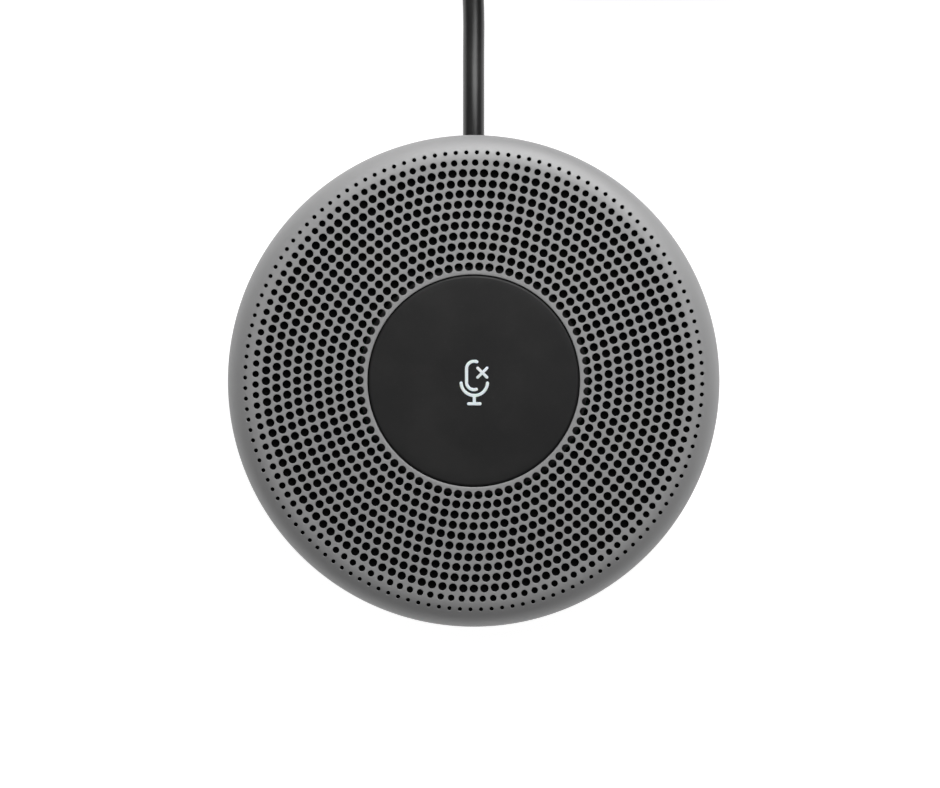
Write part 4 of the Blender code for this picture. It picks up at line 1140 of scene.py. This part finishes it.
@dataclass
class LowerHousing(Assembly):
    """The lower shell and the rubber foot."""

    floor: float = 1.6 * MM
    wall: float = 1.8 * MM
    side_top: float = 9.4 * MM
    side_foot: float = 0.9 * MM
    lip: float = 1.5 * MM
    gap: float = 0.3 * MM
    nest_wall: float = 1.2 * MM
    nest_inset: float = 0.6 * MM
    boss_spot: float = 28.0 * MM
    boss_radius: float = 3.4 * MM
    boss_top: float = 4.4 * MM
    well_radius: float = 2.5 * MM
    shank_radius: float = 1.5 * MM
    seat: float = 3.1 * MM
    cradle_y: float = 30.5 * MM
    cradle_length: float = 3.2 * MM
    ear_hole: float = 1.1 * MM
    arm_angles: tuple[float, ...] = (45.0, 135.0, 225.0, 315.0)
    steps: int = 192
    groove_spots: tuple[float, ...] = (9.0, 14.0, 19.0, 24.0, 28.5)
    groove_width: float = 1.2 * MM
    groove_depth: float = 0.45 * MM
    groove_flank: float = 0.2 * MM
    groove_round: float = 0.12 * MM
    foot_rounds: tuple[float, float] = (0.35 * MM, 0.1 * MM)
    lip_chamfer: float = 0.1 * MM
    nest_chamfer: float = 0.15 * MM
    lead_bore: float = 2.1 * MM
    neck_bore: float = 2.9 * MM
    flange_room: float = 1.5 * MM
    mouth_reach: float = 10.0 * MM

    @staticmethod
    def quarter_oval(start: tuple[float, float], end: tuple[float, float], steps: int) -> Outline:
        """Points from a level start to an upright end."""
        points: Outline = []
        for step in range(steps + 1):
            angle = math.pi / 2 * step / steps
            radius = start[0] + (end[0] - start[0]) * math.sin(angle)
            points.append((radius, start[1] + (end[1] - start[1]) * (1.0 - math.cos(angle))))
        return points

    def shell(self) -> bmesh.types.BMesh:
        """The turned shell, without its bosses and holes."""
        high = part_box("bottom_housing")[1]
        foot_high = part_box("foot_pad")[1]
        side = high.x
        under = foot_high.z + self.gap
        top = under + self.floor
        lip_inner = foot_high.x + self.gap
        lip_outer = lip_inner + self.lip
        nest = side - self.nest_inset
        outline: Outline = [(0.0, under), (lip_inner, under)]
        outline += [(lip_inner, self.side_foot + self.lip_chamfer)]
        outline += [(lip_inner + self.lip_chamfer, self.side_foot)]
        outline += self.quarter_oval((lip_outer, self.side_foot), (side, self.side_top), 24)
        outline += [(nest, self.side_top), (nest, high.z - self.nest_chamfer)]
        outline += [(nest - self.nest_chamfer, high.z), (nest - self.nest_wall, high.z)]
        inner_side = (side - self.wall, self.side_top)
        inside = self.quarter_oval((lip_outer - self.gap, top), inner_side, 14)
        outline += list(reversed(inside))
        outline += [(0.0, top)]
        return Shapes.revolved(outline, self.steps)

    def build(self) -> None:
        """Builds the shell with its bosses and holes, and the foot."""
        foot_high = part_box("foot_pad")[1]
        top = foot_high.z + self.gap + self.floor
        sunk = top - self.floor / 2
        flange_low, flange_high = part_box("cable_grommet")
        axis_z = (flange_low.z + flange_high.z) / 2
        flange = (flange_high.z - flange_low.z) / 2 + self.gap
        bosses = self._several([(0.0, sunk), (self.boss_radius, sunk),
                                (self.boss_radius, self.boss_top), (0.0, self.boss_top)])
        cradle_top = axis_z - self.gap / 2
        ear_spot = sum(corner.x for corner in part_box("clamp_screw_2")) / 2
        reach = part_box("cable_clamp")[1].x
        cradle = Shapes.block((2 * reach, self.cradle_length, cradle_top - sunk),
                              (0.0, self.cradle_y, (cradle_top + sunk) / 2))
        wells = self._several([(0.0, 0.0), (self.well_radius, 0.0), (self.well_radius, self.seat),
                               (self.shank_radius, self.seat),
                               (self.shank_radius, self.boss_top + self.gap),
                               (0.0, self.boss_top + self.gap)])
        ear_top = cradle_top + self.gap
        ear = [(0.0, top), (self.ear_hole, top), (self.ear_hole, ear_top), (0.0, ear_top)]
        ears = Shapes.together(
            Shapes.moved(Shapes.revolved(ear, 24), Matrix.Translation((spot, self.cradle_y, 0.0)))
            for spot in (-ear_spot, ear_spot)
        )
        flange_start, flange_end = flange_low.y - self.gap, flange_low.y + self.flange_room
        start, end = self.cradle_y - self.cradle_length, foot_high.x + self.mouth_reach
        outline = [(0.0, start), (self.lead_bore, start), (self.lead_bore, flange_start)]
        outline += [(flange, flange_start), (flange, flange_end), (self.neck_bore, flange_end)]
        outline += [(self.neck_bore, end), (0.0, end)]
        mouth = Shapes.moved(Shapes.revolved(outline, 48), Shapes.along_lead(axis_z))
        shell = Shapes.carved(self.shell(), [bosses, cradle], [wells, ears, mouth])
        self.finished("housing_shell", shell, Body.POD, Palette.HOUSING, ["bottom_housing"])
        self.finished("foot_disc", self.foot(foot_high.x, foot_high.z), Body.POD, Palette.FOOT,
                      ["foot_pad"])

    def _several(self, outline: Outline) -> bmesh.types.BMesh:
        """A turned shape at each case screw's place."""
        return Shapes.together(Shapes.moved(Shapes.revolved(outline, 32), place)
                               for place in Shapes.spots(self.boss_spot, self.arm_angles))

    def foot(self, radius: float, thickness: float) -> bmesh.types.BMesh:
        """The rubber foot with rings of grooves underneath."""
        corners = [(0.0, 0.0, 0.0)]
        for spot in self.groove_spots:
            inner = spot * MM - self.groove_width / 2
            outer = spot * MM + self.groove_width / 2
            groove = [(inner, 0.0), (inner + self.groove_flank, self.groove_depth)]
            groove += [(outer - self.groove_flank, self.groove_depth), (outer, 0.0)]
            corners += [(*point, self.groove_round) for point in groove]
        lower_round, upper_round = self.foot_rounds
        corners += [(radius, 0.0, lower_round), (radius, thickness, upper_round)]
        corners += [(0.0, thickness, 0.0)]
        return Shapes.revolved(Shapes.softened(corners), self.steps)


@dataclass
class Lead(Assembly):
    """The lead: out of the housing, round its coil and into the plug, with grommet and ties."""

    diameter: float = 3.6 * MM
    length: float = 6.0
    inside: tuple[tuple[float, float, float], ...] = (
        (0.0, 0.0285, 0.0058),
        (0.0, 0.0360, 0.0058),
        (0.0, 0.0420, 0.0057),
        (0.0, 0.0480, 0.0049),
        (0.0, 0.0550, 0.0034),
        (0.0, 0.0630, 0.0022),
        (-0.0004, 0.0700, 0.00185),
        (-0.0014, 0.0780, 0.0019),
        (-0.0027, 0.0862, 0.0023),
    )
    tail: tuple[tuple[float, float, float], ...] = (
        (-0.0056, 0.1198, 0.0174),
        (-0.0060, 0.1253, 0.0166),
        (-0.01085, 0.1299, 0.0143),
        (-0.0180, 0.1318, 0.0110),
        (-0.02515, 0.1299, 0.0077),
        (-0.0304, 0.12465, 0.0052),
        (-0.0322, 0.1208, 0.0042),
        (-0.0323, 0.1172, 0.0040),
    )
    climb: tuple[tuple[float, float, float], ...] = (
        (196.0, 32.3 * MM, 18.45 * MM),
        (182.0, 34.6 * MM, 18.95 * MM),
        (170.5, 37.9 * MM, 18.75 * MM),
    )
    columns: int = 6
    rows: int = 6
    turn_points: int = 48
    first_jog: float = 45.0
    jog_half: float = 25.0
    run_out: float = 30.0
    spacing: float = 2.5 * MM
    roundness: float = 1.015
    resolution: int = 6
    tie_angles: tuple[float, ...] = (135.0, 315.0)
    tie_width: float = 9.0 * MM
    tie_thickness: float = 0.6 * MM
    lap_lift: float = 0.04 * MM
    lap_inset: float = 1.0 * MM
    lap_thickness: float = 0.54 * MM
    lap_cut: tuple[float, float] = (-0.18, 0.12)
    flange_length: float = 1.2 * MM
    neck_wall: float = 0.5 * MM
    sleeve_rounds: tuple[float, float] = (0.1 * MM, 0.2 * MM)
    gap: float = 0.3 * MM

    def __post_init__(self) -> None:
        """Takes the coil's place from the frame."""
        self.low, self.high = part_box("cable_coil")
        self.centre = (self.low + self.high) / 2
        self.outer = (self.high.x - self.low.x) / 2
        self.outer_turn = self.outer - self.diameter / 2

    def places(self) -> list[tuple[float, float]]:
        """Radius and height of each turn's place, in winding order."""
        found = []
        for row in range(self.rows):
            order = range(self.columns) if row % 2 == 0 else reversed(range(self.columns))
            shift = 0.5 if row % 2 else 0.0
            height = self.low.z + self.diameter / 2 + row * self.diameter * math.sqrt(0.75)
            for column in order:
                found.append((self.outer_turn - (column + shift) * self.diameter, height))
        return found

    def wound(self) -> list[Vector]:
        """Points of the coil, which starts heading +Y and is wound clockwise from above."""
        places = self.places()
        turns = len(places) - 1
        end = turns * 360.0 - self.run_out
        steps = round(end / 360.0 * self.turn_points)
        points = []
        for step in range(steps + 1):
            travelled = end * step / steps
            near = max(1, round((travelled - self.first_jog) / 360.0))
            offset = travelled - self.first_jog - 360.0 * near
            share = min(1.0, max(0.0, (offset + self.jog_half) / (2 * self.jog_half)))
            share = (1.0 - math.cos(math.pi * share)) / 2
            before, after = places[near - 1], places[near]
            radius = before[0] + (after[0] - before[0]) * share
            height = before[1] + (after[1] - before[1]) * share
            points.append(self.around(180.0 - travelled, radius, height))
        return points

    def around(self, degrees: float, radius: float, height: float) -> Vector:
        """The point at an angle and a radius about the coil's axis."""
        angle = math.radians(degrees)
        return Vector((self.centre.x + radius * math.cos(angle),
                       self.centre.y + radius * math.sin(angle), height))

    def smooth(self, knots: Sequence[Vector]) -> list[Vector]:
        """Points along a smooth curve through the knots.

        Args:
            knots: The points that the curve passes through.

        Returns:
            Points about a spacing apart.
        """
        knots = [knots[0] * 2 - knots[1], *knots, knots[-1] * 2 - knots[-2]]
        points = []
        for before, start, end, after in zip(knots, knots[1:], knots[2:], knots[3:]):
            steps = max(1, round((end - start).length / self.spacing))
            for step in range(steps):
                share = step / steps
                point = 2 * start + (end - before) * share
                point += (2 * before - 5 * start + 4 * end - after) * share**2
                point += (3 * start - before - 3 * end + after) * share**3
                points.append(point / 2)
        points.append(knots[-2])
        return points

    def line(self) -> list[Vector]:
        """The lead's centre line from inside the housing to the plug."""
        wound = self.wound()
        knots = [Vector(point) for point in self.inside]
        over_the_edge = [self.around(*point) for point in self.climb]
        leave = [wound[-1], *over_the_edge, *(Vector(point) for point in self.tail)]
        start = self.smooth([*knots, wound[0], wound[1]])
        while start[-1] != wound[0] and (start[-1] - wound[0]).dot(wound[1] - wound[0]) > 0:
            start.pop()
        guided = self.smooth([wound[-2], *leave])
        while (guided[0] - wound[-1]).length > MERGE:
            guided.pop(0)
        return [*start[:-1], *wound[:-1], *guided]

    def grommet(self) -> None:
        """The rubber sleeve in the housing's wall, with a rounded mouth."""
        low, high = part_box("cable_grommet")
        bore = self.diameter / 2 + self.gap
        flange = (high.z - low.z) / 2
        neck = bore + self.neck_wall
        step = low.y + self.flange_length
        slight, full = self.sleeve_rounds
        corners = [
            (bore, low.y, slight),
            (flange, low.y, full),
            (flange, step, full),
            (neck, step, slight),
            (neck, high.y, full),
            (bore, high.y, full),
        ]
        bm = Shapes.revolved(Shapes.softened(corners), 64)
        sleeve = Shapes.moved(bm, Shapes.along_lead((low.z + high.z) / 2))
        self.finished("lead_grommet", sleeve, Body.POD, Palette.SEAL, ["cable_grommet"])

    def strap(self, index: int, degrees: float) -> bpy.types.Object:
        """One hook-and-loop strap round the coil's section, with its end lapped over."""
        width = self.high.z - self.low.z
        half = (self.columns * self.diameter + self.diameter / 2) / 2
        inner = self.outer - 2 * half
        inside = math.sqrt(inner**2 - (self.tie_width / 2) ** 2) - self.gap
        outside = self.outer + self.gap
        size = (outside - inside, self.tie_width, width + 2 * self.gap)
        middle = ((inside + outside) / 2, 0.0, (self.low.z + self.high.z) / 2)
        band = self._band(size, middle, self.tie_thickness)
        grown = 2 * self.tie_thickness + self.lap_lift
        lap_size = (size[0] + grown, self.tie_width - self.lap_inset, size[2] + grown)
        lap = self._band(lap_size, middle, self.lap_thickness)
        for axis, share in zip((0, 2), self.lap_cut):
            spot, facing = [0.0, 0.0, 0.0], [0.0, 0.0, 0.0]
            spot[axis] = middle[axis] + size[axis] * share
            facing[axis] = -1.0
            bmesh.ops.bisect_plane(lap, geom=lap.verts[:] + lap.edges[:] + lap.faces[:],
                                   plane_co=spot, plane_no=facing, clear_outer=True)
        open_edges = [edge for edge in lap.edges if edge.is_boundary]
        bmesh.ops.holes_fill(lap, edges=open_edges, sides=0)
        bm = Shapes.together([band, lap])
        turn = Matrix.Translation((self.centre.x, self.centre.y, 0.0))
        turn = turn @ Matrix.Rotation(math.radians(degrees), 4, "Z")
        return self.finished(f"coil_strap_{index}", Shapes.moved(bm, turn), Body.POD, Palette.STRAP,
                             [f"coil_tie_{index}"])

    def _band(self, size: Sequence[float], middle: Sequence[float],
              thickness: float) -> bmesh.types.BMesh:
        """A closed band with rounded corners, open along Y."""
        opened = [Vector((0.0, 1.0, 0.0)), Vector((0.0, -1.0, 0.0))]
        bm = Shapes.open_box(size, middle, opened, self.diameter / 2, 6)
        bmesh.ops.solidify(bm, geom=bm.faces[:], thickness=-thickness)
        return bm

    def build(self, plug_pieces: Sequence[bpy.types.Object]) -> None:
        """Args:
            plug_pieces: The plug's pieces, which lie on the lead's end; not used.
        """
        self.grommet()
        straps = [self.strap(index, degrees) for index, degrees in enumerate(self.tie_angles, 1)]
        line = [(point, 1.0) for point in self.line()]
        lead = Shapes.tube("lead", line, self.diameter / 2 * self.roundness, self.resolution)
        lead.data.materials.append(self.palette.material(Palette.JACKET))
        self.declared(lead, Body.POD, Palette.JACKET, ["cable", "cable_coil", "cable_tail"])


@dataclass
class Plug(Assembly):
    """The plug on the lead's end: grip, shell, tongue and contacts."""

    grip: tuple[float, float, float] = (25.0 * MM, 15.5 * MM, 8.0 * MM)
    relief_length: float = 12.0 * MM
    relief_radii: tuple[float, float] = (2.9 * MM, 3.6 * MM)
    relief_rings: int = 5
    relief_sunk: float = 3.0 * MM
    ring_depth: float = 0.55 * MM
    ring_steps: tuple[float, float, float] = (0.25 * MM, 0.95 * MM, 1.2 * MM)
    grip_round: float = 1.9 * MM
    ribs: int = 4
    rib_spots: tuple[float, float] = (0.32, 0.12)
    rib_size: tuple[float, float, float] = (1.1 * MM, 9.61 * MM, 0.7 * MM)
    rib_round: float = 0.3 * MM
    shell: tuple[float, float, float] = (12.0 * MM, 12.0 * MM, 4.5 * MM)
    shell_wall: float = 0.3 * MM
    shell_round: float = 0.5 * MM
    window_size: tuple[float, float, float] = (1.9 * MM, 2.4 * MM, 1.0 * MM)
    window_spot: tuple[float, float] = (5.6 * MM, 2.2 * MM)
    window_round: float = 0.2 * MM
    gap: float = 0.3 * MM
    contact_spots: tuple[float, ...] = (-3.5 * MM, -1.0 * MM, 1.0 * MM, 3.5 * MM)
    contact_lengths: tuple[float, ...] = (7.6 * MM, 6.6 * MM, 6.6 * MM, 7.6 * MM)
    contact_section: tuple[float, float] = (1.0 * MM, 0.2 * MM)
    contact_front: float = 1.6 * MM
    contact_sunk: float = 0.02 * MM
    contact_round: float = 0.08 * MM

    def __post_init__(self) -> None:
        """Takes the plug's place from the frame; it points towards -Y."""
        low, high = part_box("plug_grip")
        start = Vector(((low.x + high.x) / 2, high.y, (low.z + high.z) / 2))
        self.place = Matrix.Translation(start) @ Matrix.Rotation(-math.pi / 2, 4, "Z")
        self.shell_start = self.relief_length + self.grip[0] + self.gap

    def moulding(self) -> bmesh.types.BMesh:
        """The grip with ribs and a ringed strain relief."""
        length, height = self.grip[0], self.grip[2]
        middle = (self.relief_length + length / 2, 0.0, 0.0)
        base = Shapes.block(self.grip, middle, self.grip_round, 5)
        start, end = self.relief_radii
        outline: Outline = [(0.0, 0.0), (start - self.rib_round, 0.0), (start, self.rib_round)]
        for ring in range(self.relief_rings):
            near = self.relief_length * (ring + 0.35) / self.relief_rings
            radius = start + (end - start) * (ring + 0.5) / self.relief_rings
            sunk = radius - self.ring_depth
            down, up, out = (near + step for step in self.ring_steps)
            outline += [(radius, near), (sunk, down), (sunk, up), (radius, out)]
        bottom = self.relief_length + self.relief_sunk
        outline += [(end, bottom), (0.0, bottom)]
        relief = Shapes.moved(Shapes.revolved(outline, 40), Matrix.Rotation(math.pi / 2, 4, "Y"))
        cuts = []
        for side in (-1.0, 1.0):
            for rib in range(self.ribs):
                share = self.rib_spots[0] + self.rib_spots[1] * rib
                place = (self.relief_length + length * share, 0.0, side * (height / 2))
                cuts.append(Shapes.block(self.rib_size, place, self.rib_round, 2))
        return Shapes.carved(base, [relief], [Shapes.together(cuts)])

    def can(self) -> bmesh.types.BMesh:
        """The metal shell: an open tube with a closed back and two windows on each broad side."""
        middle = (self.shell_start + self.shell[0] / 2, 0.0, 0.0)
        front = Vector((1.0, 0.0, 0.0))
        bm = Shapes.open_box(self.shell, middle, [front], self.shell_round, 4)
        bmesh.ops.solidify(bm, geom=bm.faces[:], thickness=self.shell_wall)
        along, across = self.window_spot
        windows = []
        for side in (-1.0, 1.0):
            for spot in (-across, across):
                place = (self.shell_start + along, spot, side * self.shell[2] / 2)
                windows.append(Shapes.block(self.window_size, place, self.window_round, 2))
        return Shapes.carved(bm, [], [Shapes.together(windows)])

    def contacts(self) -> bmesh.types.BMesh:
        """The four contacts on the tongue."""
        front = self.shell_start + self.shell[0] - self.contact_front
        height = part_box("plug_tongue")[0].z - self.place.translation.z - self.contact_sunk
        strips = []
        for spot, length in zip(self.contact_spots, self.contact_lengths):
            place = (front - length / 2, spot, height)
            size = (length, *self.contact_section)
            strips.append(Shapes.block(size, place, self.contact_round, 2))
        return Shapes.together(strips)

    def build(self) -> list[bpy.types.Object]:
        """Builds the plug and gives its pieces."""
        pieces = []
        for name, shape, finish, replaces in (
            ("plug_moulding", self.moulding, Palette.MOULDING, ["plug_grip"]),
            ("plug_can", self.can, Palette.TIN, ["plug_shell"]),
            ("plug_contacts", self.contacts, Palette.GOLD, []),
        ):
            bm = Shapes.moved(shape(), self.place)
            pieces.append(self.finished(name, bm, Body.POD, finish, replaces))
        return [*pieces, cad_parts["plug_tongue"]]


@dataclass
class InnerParts(Assembly):
    """The pieces inside, which keep their own shape and get their finish."""

    finishes: dict[str, Finish] = field(
        default_factory=lambda: {
            "ballast_plate": Palette.BALLAST,
            "main_board": Palette.BOARD,
            "inner_frame": Palette.FRAME,
            "light_guide": Palette.LIGHT_GUIDE,
            "switch_body": Palette.CHIP,
            "switch_plunger": Palette.NYLON,
            "mic_gasket": Palette.SEAL,
            "mic_capsule": Palette.CAPSULE,
            "status_led": Palette.LED,
            "audio_processor": Palette.CHIP,
            "codec_chip": Palette.CHIP,
            "cable_socket": Palette.NYLON,
            "cable_header": Palette.NYLON,
            "cable_clamp": Palette.HOUSING,
            "lead_red": Palette.RED,
            "lead_white": Palette.WHITE,
            "lead_green": Palette.GREEN,
            "lead_black": Palette.BLACK,
            "case_screw": Palette.SCREW,
            "board_screw": Palette.SCREW,
            "clamp_screw": Palette.SCREW,
            "plug_tongue": Palette.TONGUE,
        }
    )

    def build(self) -> None:
        """Dresses each CAD node that still shows."""
        for name, thing in sorted(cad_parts.items()):
            if thing.hide_render:
                continue
            finish = self.finishes[name.rstrip("_0123456789")]
            self.palette.dress(thing, finish)
            LOG.info("%s keeps its shape and is dressed in %s", name, finish.name)


@dataclass
class Studio:
    """Floor, lights and camera."""

    lens: float = 360.0
    sensor: float = 36.0
    camera_place: tuple[float, float, float] = (-0.00062, -0.00221, 1.6017)
    clip_start: float = 0.01
    floor_size: float = 6.0
    floor_glow: float = 0.95
    room_light: float = 0.125
    lights: tuple[tuple[str, tuple[float, float, float], float, float], ...] = (
        ("key_light", (0.28, 0.8, 0.9), 1.0, 14.5),
        ("edge_light", (0.15, 1.2, 0.5), 1.2, 13.0),
        ("fill_light", (-0.9, -0.1, 1.2), 1.2, 1.0),
    )

    def floor(self) -> None:
        """A plain pale floor that gives back a little light of its own."""
        bm = bmesh.new()
        bmesh.ops.create_grid(bm, x_segments=1, y_segments=1, size=self.floor_size / 2)
        thing = Shapes.placed("studio_floor", bm)
        material = bpy.data.materials.new("pale_floor")
        material.use_nodes = True
        inputs = material.node_tree.nodes["Principled BSDF"].inputs
        for socket, value in (
            ("Specular IOR Level", 0.0),
            ("Roughness", 0.9),
            ("Base Color", (0.4, 0.4, 0.4, 1.0)),
            ("Emission Color", (1.0, 1.0, 1.0, 1.0)),
            ("Emission Strength", self.floor_glow),
        ):
            inputs[socket].default_value = value
        thing.data.materials.append(material)

    def light(self, name: str, place: Sequence[float], size: float, watts: float) -> None:
        """A square soft light that faces the pod."""
        data = bpy.data.lights.new(name, "AREA")
        data.shape = "SQUARE"
        data.size = size
        data.energy = watts
        thing = Shapes.linked(bpy.data.objects.new(name, data))
        thing.location = place
        thing.rotation_euler = (-Vector(place)).to_track_quat("-Z", "Y").to_euler()

    def build(self) -> None:
        """Builds the floor, the lights, the backdrop light and the camera."""
        self.floor()
        for name, place, size, watts in self.lights:
            self.light(name, place, size, watts)
        world = bpy.data.worlds.new("soft_room")
        world.use_nodes = True
        background = world.node_tree.nodes["Background"]
        background.inputs["Color"].default_value = (1.0, 1.0, 1.0, 1.0)
        background.inputs["Strength"].default_value = self.room_light
        bpy.context.scene.world = world
        bpy.context.scene.view_settings.view_transform = "Standard"
        data = bpy.data.cameras.new("camera")
        data.lens = self.lens
        data.sensor_width = self.sensor
        data.clip_start = self.clip_start
        camera = Shapes.linked(bpy.data.objects.new("camera", data))
        camera.location = self.camera_place
        bpy.context.scene.camera = camera


def main() -> None:
    """Builds every piece in order and reports it."""
    logging.basicConfig(level=logging.INFO, format="%(message)s")
    palette = Palette()
    Studio().build()
    plug_pieces = Plug(palette).build()
    Lead(palette).build(plug_pieces)
    LowerHousing(palette).build()
    grille = GrilleShell(palette)
    grille.build()
    ClothLayer(palette, grille).build()
    MuteKey(palette).build()
    ReturnRing(palette).build()
    InnerParts(palette).build()


if __name__ == "__main__":
    main()
